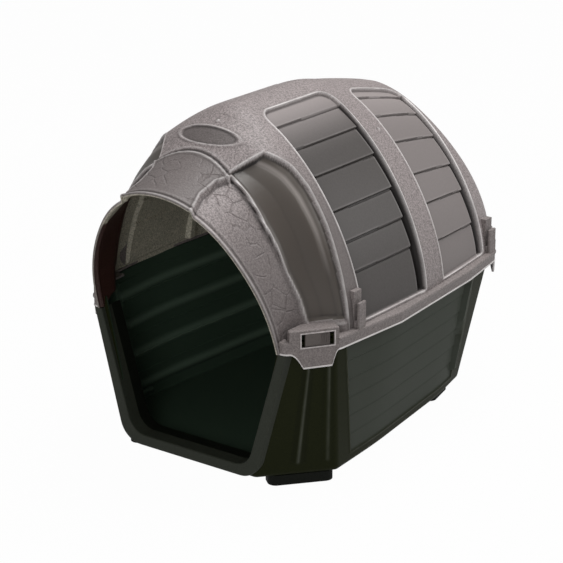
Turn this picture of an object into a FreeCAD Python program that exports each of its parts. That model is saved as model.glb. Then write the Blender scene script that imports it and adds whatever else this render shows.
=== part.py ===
"""Moulded kennel for a large dog: a ribbed roof dome over a tapered tub.

Millimetres, +Z up.  The doorway faces -Y and X = 0 is the plane of symmetry.
The shapes are drawn from the doorway's plane (y = 0) and moved to the middle of
the whole outline when they are written.
"""
import FreeCAD, Part
import math
import os

Vector = FreeCAD.Vector

# ---------------------------------------------------------------- driving sizes
# Plan of the roof's rim, one half: half widths, and distances behind the doorway.
RIM_FRONT_HALF = 222.0
RIM_CORNER_HALF = 283.0
RIM_CORNER_Y = 83.0
RIM_WAIST_HALF = 301.0
RIM_WAIST_Y = 262.0
RIM_TAIL_HALF = 287.0
RIM_TAIL_Y = 538.0
RIM_REAR_CORNER_HALF = 268.0
RIM_REAR_CORNER_Y = 672.0
RIM_BACK_HALF = 208.0
RIM_BACK_Y = 762.0

# Heights of the rim.
RIM_LIP_Z = 281.0
RIM_TOP_Z = 306.0
CORNER_LEDGE_Z = 326.0
SHELF_WIDTH = 10.0
RIM_RADIUS = 26.0
RIM_BEAD = 2.5
RIM_BEAD_HEIGHT = 9.0
RIM_EDGE = 1.5
RIM_EDGE_HEIGHT = 3.0

# Walls and clearances.
ROOF_WALL = 4.0
TUB_WALL = 4.0
SEAT_GAP = 0.6
SKIRT_GAP = 1.0
FLANGE_REACH = 6.0

# Arches of the roof dome, front to back: crown height, how far the crown stands
# behind the doorway, and the roundness of the arch (2 is an ellipse, less is more
# pointed).  They start just over the rim's top.
ARCH_BASE_RISE = 1.0
MOUTH_HALF = 211.0
MOUTH_BASE_Z = 268.0
MOUTH_TOP_Z = 560.0
MOUTH_REACH = 86.0
MOUTH_ROUNDNESS = 2.1
CREASE_HALF = 214.0
CREASE_BASE_Y = 40.0
CREASE_CROWN_Y = 20.0
CREASE_TOP_Z = 604.0
CREASE_ROUNDNESS = 2.05
BROW_BASE_Y = 112.0
BROW_CROWN_Y = 95.0
BROW_TOP_Z = 655.0
BROW_ROUNDNESS = 1.85
CROWN_TOP_Z = 680.0
CROWN_FRONT_Y = 160.0
CROWN_BACK_Y = 350.0
CROWN_ROUNDNESS = 1.62
SADDLE_TOP_Z = 668.0
SADDLE_Y = 440.0
TAIL_TOP_Z = 638.0
TAIL_Y = 590.0
LAST_RIB_TOP_Z = 622.0
LAST_RIB_Y = 640.0
BACK_SLOPE_TOP_Z = 540.0
BACK_SLOPE_Y = 700.0
BACK_WALL_TOP_Z = 430.0
BACK_WALL_INSET = 16.0
BACK_ROUNDNESS = 1.9

# Recessed bays between the ribs, and the planks in them.
BAY_DEPTH = 8.0
BAY_LOW_Z = 312.0
BAY_SPINE_HALF = 58.0
BAY_CORNER_RADIUS = 28.0
FRONT_BAY_START_Y = 161.0
FRONT_BAY_END_Y = 370.0
REAR_BAY_START_Y = 444.0
REAR_BAY_END_Y = 622.0
PLANK_LAP = 3.0
PLANK_COUNT = 7
PLANK_FIRST_ANGLE = 19.0
PLANK_PITCH_ANGLE = 9.9
PLANK_TOP_ANGLE = 84.0

# Crescent channel between the hood and the first rib.
CHANNEL_DEPTH = 14.0
CHANNEL_FRONT_Y = 34.0
CHANNEL_BACK_Y = 118.0
CHANNEL_SHOULDER_HALF = 186.0
CHANNEL_SHOULDER_Y = 129.0
CHANNEL_TIP_HALF = 88.0
CHANNEL_TIP_Y = 88.0
CHANNEL_RADIUS = 9.0

# Band round the hood's mouth.
MOUTH_BAND_WIDTH = 9.0
MOUTH_BAND_HEIGHT = 3.0

# Oval recess on the brow.
OVAL_HALF_LENGTH = 66.0
OVAL_HALF_WIDTH = 17.0
OVAL_DEPTH = 1.6
OVAL_Y = 68.0

# Shields over the corners, and the windows in them.  Reaches are measured from the
# window's middle, which stands nearer the kennel's side than the corner's middle.
SHIELD_BOTTOM_Z = 252.0
SHIELD_FOOT_HALF = 27.5
CORNER_BOX_END_REACH = 54.0
CORNER_BOX_SIDE_REACH = 40.0
CORNER_BOX_DEPTH = 34.0
CORNER_BOX_ROOM = 20.0
WINDOW_SHIFT = 10.0
WINDOW_HALF = 31.0
WINDOW_LOW_Z = 293.5
WINDOW_HIGH_Z = 318.5
WINDOW_BORDER = 2.2
WINDOW_BORDER_HEIGHT = 1.2

# Slide latches.
LATCH_HALF = 23.0
LATCH_TRAVEL = 6.0
LATCH_CLEARANCE = 0.6
LATCH_THICKNESS = 3.0
LATCH_FLANGE_THICKNESS = 2.0
LATCH_FLANGE_OVERLAP = 2.2
LATCH_GRIP_COUNT = 5
LATCH_GRIP_PITCH = 3.2
LATCH_GRIP_WIDTH = 1.6
LATCH_GRIP_HEIGHT = 1.4
TONGUE_LENGTH = 12.0
TONGUE_WIDTH = 9.0
TONGUE_HEIGHT = 4.0
KEEPER_WALL = 4.0
KEEPER_GRIP = 4.5
KEEPER_ROOM = 1.5

# Upright lugs on the rim.
LUG_FRONT_Y = 146.0
LUG_REAR_Y = 655.0
LUG_LENGTH = 24.0
LUG_POST_HEIGHT = 52.0
LUG_POST_THICKNESS = 6.0
LUG_BLOCK_HEIGHT = 72.0
LUG_SLOT = 5.0
LUG_BLOCK_DEPTH = 22.0

# Tub.
TUB_BOTTOM_Z = 20.0
TUB_FRONT_HALF_BOTTOM = 150.0
TUB_CORNER_HALF_BOTTOM = 254.0
TUB_CORNER_Y_BOTTOM = 123.0
TUB_WAIST_HALF_BOTTOM = 250.0
TUB_TAIL_HALF_BOTTOM = 226.0
TUB_REAR_CORNER_HALF_BOTTOM = 207.0
TUB_REAR_CORNER_Y_BOTTOM = 640.0
TUB_BACK_HALF_BOTTOM = 160.0
TUB_BACK_Y_BOTTOM = 694.0
TUB_FRONT_Y = 6.0
TUB_EDGE_RADIUS = 16.0
PANEL_DEPTH = 4.0
PANEL_LAP = 2.8
PANEL_COURSES = 6
PANEL_START_TOP_Y = 120.0
PANEL_START_BOTTOM_Y = 166.0
PANEL_END_TOP_Y = 574.0
PANEL_END_BOTTOM_Y = 590.0
PANEL_LOW_Z = 44.0
POST_RIB_WIDTH = 5.0
POST_RIB_HEIGHT = 3.0
POST_RIB_SHARES = (0.50, 0.86)
FIN_HEIGHT = 7.0
FIN_THICKNESS = 16.0
FIN_LOW_Z = 66.0

# Doorway frame.
DOOR_OUTER_TOP_HALF = 222.0
DOOR_OUTER_LOW_HALF = 156.0
DOOR_OUTER_LOW_Z = 21.0
DOOR_OUTER_RADIUS = 48.0
DOOR_BORDER_TOP = 17.0
DOOR_BORDER_LOW = 20.0
DOOR_BORDER_SILL = 22.0
DOOR_INNER_RADIUS = 40.0
DOOR_FRAME_DEPTH = 30.0
DOOR_FRAME_TOP_Z = 280.0

# Foot pads.
FRONT_FOOT_INSET = 4.0
FRONT_FOOT_MARGIN = 26.0
REAR_FOOT_INSET = 16.0
REAR_FOOT_MARGIN = 8.0
FOOT_WIDTH = 46.0
FOOT_END_MARGIN = 3.0

# Worked out from the sizes above.
TUB_TOP_Z = RIM_TOP_Z - ROOF_WALL - SEAT_GAP
SKIRT_INSET = ROOF_WALL + SKIRT_GAP
WALL_INSET = SKIRT_INSET + FLANGE_REACH
MOUTH_LEAN = MOUTH_REACH / (MOUTH_TOP_Z - MOUTH_BASE_Z)
OVERALL_FRONT_Y = -MOUTH_REACH - MOUTH_BAND_HEIGHT * MOUTH_LEAN
CENTRE_Y = (OVERALL_FRONT_Y + RIM_BACK_Y + RIM_BEAD) / 2.0
DOME_FLOOR_Z = SHIELD_BOTTOM_Z
BAYS = ((FRONT_BAY_START_Y, FRONT_BAY_END_Y), (REAR_BAY_START_Y, REAR_BAY_END_Y))

# How finely the shapes are drawn.
ARCH_POINTS = 13
ARCHES_PER_STATION = 2
MOUTH_OVERRUN = 0.3
CORNER_ARC_SHARE = 0.45
SEARCH_STEPS = 40
FAR = 1200.0

# Sides of a half plan, counted from the front, and the brow among the arches.
FRONT_CORNER_SIDE = 0
TAIL_SIDE = 3
REAR_CORNER_SIDE = 4
BROW_ARCH = 2


# ---------------------------------------------------------------- plan outlines
def rim_plan():
    """Right half of the rim's plan, front to back."""
    return [
        (RIM_FRONT_HALF, 0.0),
        (RIM_CORNER_HALF, RIM_CORNER_Y),
        (RIM_WAIST_HALF, RIM_WAIST_Y),
        (RIM_TAIL_HALF, RIM_TAIL_Y),
        (RIM_REAR_CORNER_HALF, RIM_REAR_CORNER_Y),
        (RIM_BACK_HALF, RIM_BACK_Y),
    ]


def tub_bottom_plan():
    """Right half of the tub's plan at its underside, front to back."""
    return [
        (TUB_FRONT_HALF_BOTTOM, TUB_FRONT_Y),
        (TUB_CORNER_HALF_BOTTOM, TUB_CORNER_Y_BOTTOM),
        (TUB_WAIST_HALF_BOTTOM, RIM_WAIST_Y),
        (TUB_TAIL_HALF_BOTTOM, RIM_TAIL_Y),
        (TUB_REAR_CORNER_HALF_BOTTOM, TUB_REAR_CORNER_Y_BOTTOM),
        (TUB_BACK_HALF_BOTTOM, TUB_BACK_Y_BOTTOM),
    ]


def whole(half):
    """Closed outline from a right half: down the right side and back up the left."""
    return half + [(-x, y) for x, y in reversed(half)]


def offset_outline(points, inset):
    """Move every side of a closed outline inwards by inset."""
    moved = []
    count = len(points)
    for i in range(count):
        before = Vector(*points[i - 1], 0)
        here = Vector(*points[i], 0)
        after = Vector(*points[(i + 1) % count], 0)
        first = (here - before).normalize()
        second = (after - here).normalize()
        first_normal = Vector(-first.y, first.x, 0)
        second_normal = Vector(-second.y, second.x, 0)
        bisector = first_normal + second_normal
        shift = bisector * (2.0 * inset / bisector.dot(bisector))
        moved.append((here.x + shift.x, here.y + shift.y))
    return moved


def blend_outlines(low, high, share):
    """Outline part of the way from low to high."""
    return [(a + (c - a) * share, b + (d - b) * share) for (a, b), (c, d) in zip(low, high)]


def plan_wire(points, z, radius):
    """Closed wire through points at height z, with its corners rounded by arcs."""
    corners = []
    count = len(points)
    for i in range(count):
        before = Vector(*points[i - 1], z)
        here = Vector(*points[i], z)
        after = Vector(*points[(i + 1) % count], z)
        into = (before - here)
        out = (after - here)
        half_turn = into.getAngle(out) / 2.0
        room = CORNER_ARC_SHARE * min(into.Length, out.Length)
        reach = min(radius / math.tan(half_turn), room)
        start = here + into.normalize() * reach
        end = here + out.normalize() * reach
        middle_away = reach * math.tan(half_turn)
        centre = here + (into + out).normalize() * math.hypot(reach, middle_away)
        middle = centre + (here - centre).normalize() * middle_away
        corners.append((start, middle, end))
    edges = []
    for i, (start, middle, end) in enumerate(corners):
        edges.append(Part.Arc(start, middle, end).toShape())
        following = corners[(i + 1) % count][0]
        edges.append(Part.LineSegment(end, following).toShape())
    return Part.Wire(edges)


def plan_block(points, low_z, high_z, radius):
    """Upright block on a rounded plan."""
    face = Part.Face(plan_wire(points, low_z, radius))
    return face.extrude(Vector(0, 0, high_z - low_z))


def rim_half_at(y):
    """Half width of the rim's plan at a distance behind the doorway."""
    plan = rim_plan()
    for (x0, y0), (x1, y1) in zip(plan, plan[1:]):
        if y <= y1:
            return x0 + (x1 - x0) * (y - y0) / (y1 - y0)
    return RIM_BACK_HALF


# ---------------------------------------------------------------- roof arches
def arch_stations():
    """Base half, base y, base z, crown y, crown z and roundness of each arch."""
    def half(y):
        return rim_half_at(y) - SHELF_WIDTH
    base = RIM_TOP_Z + ARCH_BASE_RISE
    back = RIM_BACK_Y - BACK_WALL_INSET
    return [
        (MOUTH_HALF, 0.0, MOUTH_BASE_Z, -MOUTH_REACH, MOUTH_TOP_Z, MOUTH_ROUNDNESS),
        (CREASE_HALF, CREASE_BASE_Y, base, CREASE_CROWN_Y, CREASE_TOP_Z, CREASE_ROUNDNESS),
        (half(BROW_BASE_Y), BROW_BASE_Y, base, BROW_CROWN_Y, BROW_TOP_Z, BROW_ROUNDNESS),
        (half(CROWN_FRONT_Y), CROWN_FRONT_Y, base, CROWN_FRONT_Y, CROWN_TOP_Z, CROWN_ROUNDNESS),
        (half(CROWN_BACK_Y), CROWN_BACK_Y, base, CROWN_BACK_Y, CROWN_TOP_Z, CROWN_ROUNDNESS),
        (half(SADDLE_Y), SADDLE_Y, base, SADDLE_Y, SADDLE_TOP_Z, CROWN_ROUNDNESS),
        (half(TAIL_Y), TAIL_Y, base, TAIL_Y, TAIL_TOP_Z, CROWN_ROUNDNESS),
        (half(LAST_RIB_Y), LAST_RIB_Y, base, LAST_RIB_Y, LAST_RIB_TOP_Z, CROWN_ROUNDNESS),
        (half(BACK_SLOPE_Y), BACK_SLOPE_Y, base, BACK_SLOPE_Y, BACK_SLOPE_TOP_Z, BACK_ROUNDNESS),
        (half(back), back, base, back, BACK_WALL_TOP_Z, BACK_ROUNDNESS),
    ]


def arch_point(station, angle, inset):
    """Point on an arch, inset from its outside; angle 0 is the right-hand base."""
    half, base_y, base_z, crown_y, crown_z, roundness = station
    share = abs(math.sin(angle)) ** (2.0 / roundness)
    across = abs(math.cos(angle)) ** (2.0 / roundness)
    x = math.copysign((half - inset) * across, math.cos(angle))
    y = base_y + (crown_y - base_y) * share
    z = base_z + (crown_z - inset - base_z) * share
    return Vector(x, y, z)


def steady_slopes(places, values):
    """Slopes of a smooth curve through values that never overshoots them."""
    steps = [b - a for a, b in zip(places, places[1:])]
    rises = [(b - a) / step for a, b, step in zip(values, values[1:], steps)]
    slopes = [rises[0]]
    for before, after in zip(rises, rises[1:]):
        turning = before * after <= 0
        slopes.append(0.0 if turning else 2.0 * before * after / (before + after))
    slopes.append(rises[-1])
    return slopes


def arch_between(position):
    """Arch at a position along the stations; 0 is the mouth, 1 the crease and so on."""
    stations = arch_stations()
    index = min(int(position), len(stations) - 2)
    t = position - index
    places = list(range(len(stations)))
    blended = []
    for values in zip(*stations):
        slopes = steady_slopes(places, values)
        low, high = values[index], values[index + 1]
        rise = slopes[index], slopes[index + 1]
        blended.append(
            low * (2 * t**3 - 3 * t**2 + 1) + high * (3 * t**2 - 2 * t**3)
            + rise[0] * (t**3 - 2 * t**2 + t) + rise[1] * (t**3 - t**2)
        )
    return tuple(blended)


def arch_wire(station, inset):
    """Closed right half of an arch: its curve, and the middle, floor and leg lines."""
    half, base_y, base_z, crown_y, crown_z, roundness = station
    angles = [math.pi / 2.0 * i / (ARCH_POINTS - 1) for i in range(ARCH_POINTS)]
    points = [arch_point(station, angle, inset) for angle in angles]
    points[-1].x = 0.0
    curve = Part.BSplineCurve()
    curve.interpolate(points)
    lean = (crown_y - base_y) / (crown_z - inset - base_z)
    foot_y = base_y + lean * (DOME_FLOOR_Z - base_z)
    foot = Vector(points[0].x, foot_y, DOME_FLOOR_Z)
    middle = Vector(0, foot_y, DOME_FLOOR_Z)
    edges = [
        curve.toShape(),
        Part.LineSegment(points[-1], middle).toShape(),
        Part.LineSegment(middle, foot).toShape(),
        Part.LineSegment(foot, points[0]).toShape(),
    ]
    return Part.Wire(edges)


def dome(inset):
    """Right half of the solid under the roof's arches, its outside moved in by inset.

    It starts a little in front of the mouth, where the mouth's plane trims it.
    """
    last = len(arch_stations()) - 1
    count = last * ARCHES_PER_STATION
    stations = [arch_between(i / ARCHES_PER_STATION) for i in range(count + 1)]
    stations.insert(0, arch_between(-MOUTH_OVERRUN))
    half, base_y, base_z, crown_y, crown_z, roundness = stations[-1]
    back_y = base_y - max(inset, 0.0)
    stations[-1] = (half, back_y, base_z, back_y, crown_z, roundness)
    return Part.makeLoft([arch_wire(station, inset) for station in stations], True, False)


def in_front_of_mouth(distance):
    """Large block in front of the mouth's leaning plane, moved back by a distance."""
    tilt = math.degrees(math.atan(MOUTH_LEAN))
    block = Part.makeBox(FAR, FAR, 2 * FAR, Vector(-FAR / 2, distance - FAR, -FAR))
    block.rotate(Vector(0, 0, 0), Vector(1, 0, 0), tilt)
    block.translate(Vector(0, 0, MOUTH_BASE_Z))
    return block


def upper_half_space(z):
    """Large block above a height."""
    return Part.makeBox(FAR, 2 * FAR, FAR, Vector(-FAR / 2, -FAR / 2, z))


def right_half_space():
    """Large block on the right of the plane of symmetry."""
    return Part.makeBox(FAR, 2 * FAR, FAR, Vector(0, -FAR / 2, 0))


def mirrored(shape):
    """The same shape on the other side of the plane of symmetry."""
    return shape.mirror(Vector(0, 0, 0), Vector(1, 0, 0))


def both_sides(shape):
    """A right-hand shape and its mirror image."""
    return [shape, mirrored(shape)]


# ---------------------------------------------------------------- bays and channel
def arch_at(y):
    """Arch at a distance behind the doorway, behind the brow."""
    low, high = float(BROW_ARCH), float(len(arch_stations()) - 1)
    for _ in range(SEARCH_STEPS):
        middle = (low + high) / 2.0
        if arch_between(middle)[1] < y:
            low = middle
        else:
            high = middle
    return arch_between(low)


def plank_angles():
    """Angles of the planks' lower edges, from the base up, and of the topmost end."""
    lines = [PLANK_FIRST_ANGLE + PLANK_PITCH_ANGLE * i for i in range(PLANK_COUNT - 1)]
    return [math.radians(angle) for angle in [0.0] + lines + [PLANK_TOP_ANGLE]]


def planked_wire(y):
    """Closed right half section of the planks: each lower edge stands proud."""
    station = arch_at(y)
    angles = plank_angles()
    proud, sunk = BAY_DEPTH - PLANK_LAP, BAY_DEPTH
    right = []
    for low, high in zip(angles, angles[1:]):
        right.append(arch_point(station, low, proud))
        right.append(arch_point(station, (low + high) / 2.0, (proud + sunk) / 2.0))
        right.append(arch_point(station, high, sunk))
    foot = Vector(right[0].x, y, DOME_FLOOR_Z)
    crown = Vector(0, y, right[-1].z)
    middle = Vector(0, y, DOME_FLOOR_Z)
    outline = [foot] + right + [crown, middle]
    return Part.makePolygon(outline + [foot])


def planked_core(start_y, end_y):
    """Solid inside one bay's planked surface."""
    margin = BAY_CORNER_RADIUS / 2.0
    places = (start_y - margin, (start_y + end_y) / 2.0, end_y + margin)
    return Part.makeLoft([planked_wire(y) for y in places], True, True)


def bay_window(start_y, end_y, grow):
    """Upright block over one right-hand bay, grown on all sides."""
    near = BAY_SPINE_HALF - grow
    points = [
        (near, start_y - grow),
        (FAR, start_y - grow),
        (FAR, end_y + grow),
        (near, end_y + grow),
    ]
    return plan_block(points, BAY_LOW_Z - grow, FAR, BAY_CORNER_RADIUS)


def channel_window(grow):
    """Upright block over the right-hand channel, grown on all sides."""
    points = [
        (CHANNEL_TIP_HALF - CHANNEL_RADIUS, CHANNEL_FRONT_Y),
        (FAR, CHANNEL_FRONT_Y),
        (FAR, CHANNEL_BACK_Y),
        (CHANNEL_SHOULDER_HALF, CHANNEL_SHOULDER_Y),
        (CHANNEL_TIP_HALF, CHANNEL_TIP_Y),
    ]
    return plan_block(offset_outline(points, -grow), CORNER_LEDGE_Z - grow, FAR, CHANNEL_RADIUS)


def bay_tools(grow, extra_depth):
    """What the bays and channels take away from a dome."""
    tools = []
    for start_y, end_y in BAYS:
        core = dome(BAY_DEPTH + extra_depth) if extra_depth else planked_core(start_y, end_y)
        tools.append(bay_window(start_y, end_y, grow).cut(core))
    tools.append(channel_window(grow).cut(dome(CHANNEL_DEPTH + extra_depth)))
    return tools


def oval_tool():
    """Shallow oval recess on the brow."""
    ellipse = Part.Ellipse(Vector(0, OVAL_Y, 0), OVAL_HALF_LENGTH, OVAL_HALF_WIDTH)
    prism = Part.Face(Part.Wire(ellipse.toShape())).extrude(Vector(0, 0, FAR))
    return prism.cut(dome(OVAL_DEPTH))


# ---------------------------------------------------------------- corner frames
def corner_placement(front):
    """Frame at the middle of a right-hand corner's window, square to the corner.

    Its first axis runs along the corner towards the back, its second into the cabin.
    """
    plan = rim_plan()
    side = FRONT_CORNER_SIDE if front else REAR_CORNER_SIDE
    start, end = Vector(*plan[side], 0), Vector(*plan[side + 1], 0)
    direction = (end - start).normalize()
    shift = WINDOW_SHIFT if front else -WINDOW_SHIFT
    turn = math.degrees(math.atan2(direction.y, direction.x))
    middle = (start + end) / 2.0 + direction * shift
    return FreeCAD.Placement(middle, FreeCAD.Rotation(Vector(0, 0, 1), turn))


def corner_plate(front, outline, inward):
    """Plate on a right-hand corner from an outline of (along, height) points.

    along runs from the window's middle towards the kennel's side, and inward from
    the rim's face towards the cabin.
    """
    sign = 1.0 if front else -1.0
    points = [Vector(sign * along, inward[0], height) for along, height in outline]
    face = Part.Face(Part.makePolygon(points + [points[0]]))
    plate = face.extrude(Vector(0, inward[1] - inward[0], 0))
    plate.Placement = corner_placement(front)
    return plate


def corner_box(front, along, inward, heights):
    """Box on a right-hand corner, with along and inward as in corner_plate."""
    outline = [
        (along[0], heights[0]),
        (along[1], heights[0]),
        (along[1], heights[1]),
        (along[0], heights[1]),
    ]
    return corner_plate(front, outline, inward)


def shield(front):
    """Tab that hangs from the rim over a right-hand corner, and its window's border."""
    outline = [
        (-CORNER_BOX_END_REACH, RIM_LIP_Z),
        (-SHIELD_FOOT_HALF, SHIELD_BOTTOM_Z),
        (SHIELD_FOOT_HALF, SHIELD_BOTTOM_Z),
        (CORNER_BOX_SIDE_REACH, RIM_LIP_Z),
        (CORNER_BOX_SIDE_REACH, CORNER_LEDGE_Z),
        (-CORNER_BOX_END_REACH, CORNER_LEDGE_Z),
    ]
    plate = corner_plate(front, outline, (0.0, ROOF_WALL))
    reach = WINDOW_HALF + WINDOW_BORDER
    border = corner_box(
        front,
        (-reach, reach),
        (-WINDOW_BORDER_HEIGHT, ROOF_WALL),
        (WINDOW_LOW_Z - WINDOW_BORDER, WINDOW_HIGH_Z + WINDOW_BORDER),
    )
    return plate.fuse(border)


def corner_ledge(front):
    """Raised box over a right-hand corner, behind the shield."""
    return corner_box(
        front,
        (-CORNER_BOX_END_REACH, CORNER_BOX_SIDE_REACH),
        (0.0, CORNER_BOX_DEPTH),
        (RIM_TOP_Z - ROOF_WALL, CORNER_LEDGE_Z),
    )


def corner_room(front):
    """Room for the latch inside the corner box, and the window to it."""
    room = corner_box(
        front,
        (-CORNER_BOX_END_REACH + ROOF_WALL, CORNER_BOX_SIDE_REACH - ROOF_WALL),
        (ROOF_WALL, CORNER_BOX_ROOM),
        (SHIELD_BOTTOM_Z, CORNER_LEDGE_Z - ROOF_WALL),
    )
    window = corner_box(
        front,
        (-WINDOW_HALF, WINDOW_HALF),
        (-ROOF_WALL, ROOF_WALL),
        (WINDOW_LOW_Z, WINDOW_HIGH_Z),
    )
    return room.fuse(window)


# ---------------------------------------------------------------- roof shell
def lug(y):
    """Upright lug on the right-hand rim: an outer post and a taller block behind it."""
    outside = rim_half_at(y) - RIM_BEAD
    start_y = y - LUG_LENGTH / 2.0
    post = Part.makeBox(
        LUG_POST_THICKNESS,
        LUG_LENGTH,
        LUG_POST_HEIGHT,
        Vector(outside - LUG_POST_THICKNESS, start_y, RIM_TOP_Z),
    )
    block_outside = outside - LUG_POST_THICKNESS - LUG_SLOT
    block = Part.makeBox(
        LUG_BLOCK_DEPTH,
        LUG_LENGTH,
        LUG_BLOCK_HEIGHT,
        Vector(block_outside - LUG_BLOCK_DEPTH, start_y, RIM_TOP_Z),
    )
    return [post, block]


def rim_ring():
    """Skirt, shelf, rolled edge and lower lip all round the roof."""
    outline = whole(rim_plan())
    body = plan_block(outline, RIM_LIP_Z, RIM_TOP_Z, RIM_RADIUS)
    bead_z = RIM_TOP_Z - RIM_BEAD_HEIGHT
    bead = plan_block(offset_outline(outline, -RIM_BEAD), bead_z, RIM_TOP_Z, RIM_RADIUS)
    edge_z = RIM_LIP_Z + RIM_EDGE_HEIGHT
    edge = plan_block(offset_outline(outline, -RIM_EDGE), RIM_LIP_Z, edge_z, RIM_RADIUS)
    hollow = plan_block(
        offset_outline(outline, ROOF_WALL), RIM_LIP_Z, RIM_TOP_Z - ROOF_WALL, RIM_RADIUS
    )
    return body.fuse([bead, edge]).cut(hollow)


def mouth_band():
    """Raised band round the hood's mouth, on the right."""
    band = dome(-MOUTH_BAND_HEIGHT).common(in_front_of_mouth(MOUTH_BAND_WIDTH))
    return band.cut(in_front_of_mouth(0.0))


def roof_half():
    """Right half of the roof shell."""
    outer = dome(0.0).cut(bay_tools(0.0, 0.0) + [oval_tool(), in_front_of_mouth(0.0)])
    outer = outer.fuse(mouth_band()).common(upper_half_space(RIM_TOP_Z - ROOF_WALL))
    additions = [rim_ring().common(right_half_space())]
    for front in (True, False):
        additions += [corner_ledge(front), shield(front)]
    for y in (LUG_FRONT_Y, LUG_REAR_Y):
        additions += lug(y)
    inner = dome(ROOF_WALL).cut(bay_tools(ROOF_WALL, ROOF_WALL))
    return outer.fuse(additions).cut([inner, corner_room(True), corner_room(False)])


def roof_shell():
    """Dome, hood, rim, corner boxes, shields and lugs, moulded in one piece."""
    half = roof_half()
    return half.fuse(mirrored(half)).removeSplitter()


# ---------------------------------------------------------------- slide latches
def slide_latch(front):
    """Right-hand latch: a gripped plate in the window, its flange and its tongue."""
    back = ROOF_WALL + LATCH_CLEARANCE + LATCH_FLANGE_THICKNESS
    face = back - LATCH_THICKNESS - LATCH_FLANGE_THICKNESS
    low = WINDOW_LOW_Z + LATCH_CLEARANCE
    high = WINDOW_HIGH_Z - LATCH_CLEARANCE
    plate = corner_box(front, (-LATCH_HALF, LATCH_HALF), (face, back), (low, high))
    overlap = LATCH_FLANGE_OVERLAP + LATCH_CLEARANCE
    flange = corner_box(
        front,
        (-LATCH_HALF, LATCH_HALF),
        (back - LATCH_FLANGE_THICKNESS, back),
        (low - overlap, high + overlap),
    )
    tongue_end = LATCH_HALF - LATCH_CLEARANCE
    tongue_z = TUB_TOP_Z + KEEPER_ROOM
    tongue = corner_box(
        front,
        (tongue_end - TONGUE_LENGTH, tongue_end),
        (back, back + TONGUE_WIDTH),
        (tongue_z, tongue_z + TONGUE_HEIGHT),
    )
    ridges = []
    for i in range(LATCH_GRIP_COUNT):
        start = LATCH_HALF - LATCH_GRIP_PITCH * (i + 1)
        ridges.append(
            corner_box(
                front,
                (start, start + LATCH_GRIP_WIDTH),
                (face - LATCH_GRIP_HEIGHT, face),
                (low + LATCH_GRIP_PITCH, high - LATCH_GRIP_PITCH),
            )
        )
    return plate.fuse([flange, tongue] + ridges).removeSplitter()


def keeper(front):
    """Hooked keeper on the tub's edge, which the latch's tongue slides under."""
    back = ROOF_WALL + LATCH_CLEARANCE + LATCH_FLANGE_THICKNESS + LATCH_CLEARANCE
    start = LATCH_HALF - LATCH_CLEARANCE + LATCH_TRAVEL - KEEPER_GRIP
    post_start = LATCH_HALF + LATCH_TRAVEL + KEEPER_ROOM
    deep = back + TONGUE_WIDTH
    hook_z = TUB_TOP_Z + KEEPER_ROOM + TONGUE_HEIGHT + LATCH_CLEARANCE
    end = post_start + KEEPER_WALL
    post = corner_box(front, (post_start, end), (back, deep), (TUB_TOP_Z, hook_z))
    hook = corner_box(front, (start, end), (back, deep), (hook_z, hook_z + KEEPER_WALL))
    return post.fuse(hook)


def latch_pocket(front):
    """Room in the tub's edge for the latch's flange over its whole travel."""
    reach = LATCH_HALF + LATCH_TRAVEL + KEEPER_ROOM
    back = ROOF_WALL + 2 * LATCH_CLEARANCE + LATCH_FLANGE_THICKNESS
    low = WINDOW_LOW_Z - LATCH_FLANGE_OVERLAP - 2 * LATCH_CLEARANCE
    return corner_box(front, (-reach, reach), (0.0, back), (low, RIM_TOP_Z))


# ---------------------------------------------------------------- tub
def tub_outline(z, inset):
    """Tub's outline at a height, moved inwards."""
    top = offset_outline(whole(rim_plan()), WALL_INSET)
    share = (z - TUB_BOTTOM_Z) / (TUB_TOP_Z - TUB_BOTTOM_Z)
    outline = blend_outlines(whole(tub_bottom_plan()), top, share)
    return offset_outline(outline, inset) if inset else outline


def tub_solid(low_z, high_z, low_inset, high_inset):
    """Tapered solid of the tub's outline between two heights."""
    low = plan_wire(tub_outline(low_z, low_inset), low_z, TUB_EDGE_RADIUS)
    high = plan_wire(tub_outline(high_z, high_inset), high_z, TUB_EDGE_RADIUS)
    return Part.makeLoft([low, high], True, True)


def side_panel_tool():
    """What the right-hand side panel takes away: a shallow bay with lapped courses."""
    outline = [
        (PANEL_START_TOP_Y, RIM_LIP_Z),
        (PANEL_START_BOTTOM_Y, PANEL_LOW_Z),
        (PANEL_END_BOTTOM_Y, PANEL_LOW_Z),
        (PANEL_END_TOP_Y, RIM_LIP_Z),
    ]
    inside = TUB_BACK_HALF_BOTTOM
    points = [Vector(inside, y, z) for y, z in outline]
    window = Part.Face(Part.makePolygon(points + [points[0]])).extrude(Vector(FAR, 0, 0))
    step = (RIM_LIP_Z - PANEL_LOW_Z) / PANEL_COURSES
    courses = []
    for i in range(PANEL_COURSES):
        low = PANEL_LOW_Z + step * i
        courses.append(tub_solid(low, low + step, PANEL_DEPTH - PANEL_LAP, PANEL_DEPTH))
    return window.cut(courses)


def sloped_rib(low_point, high_point, low_z, high_z, direction, width, inward, outward):
    """Rib up a sloping wall: a small rectangle at each end, joined."""
    wires = []
    across = Vector(*direction, 0).normalize()
    out = Vector(across.y, -across.x, 0)
    for (x, y), z in ((low_point, low_z), (high_point, high_z)):
        base = Vector(x, y, z)
        corners = [
            base - across * (width / 2) - out * inward,
            base + across * (width / 2) - out * inward,
            base + across * (width / 2) + out * outward,
            base - across * (width / 2) + out * outward,
        ]
        wires.append(Part.makePolygon(corners + [corners[0]]))
    return Part.makeLoft(wires, True, True)


def on_side(outline, index, share):
    """Point part of the way along one side of an outline."""
    (x0, y0), (x1, y1) = outline[index], outline[index + 1]
    return (x0 + (x1 - x0) * share, y0 + (y1 - y0) * share)


def side_direction(outline, index):
    """Direction of one side of an outline."""
    (x0, y0), (x1, y1) = outline[index], outline[index + 1]
    return (x1 - x0, y1 - y0)


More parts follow.
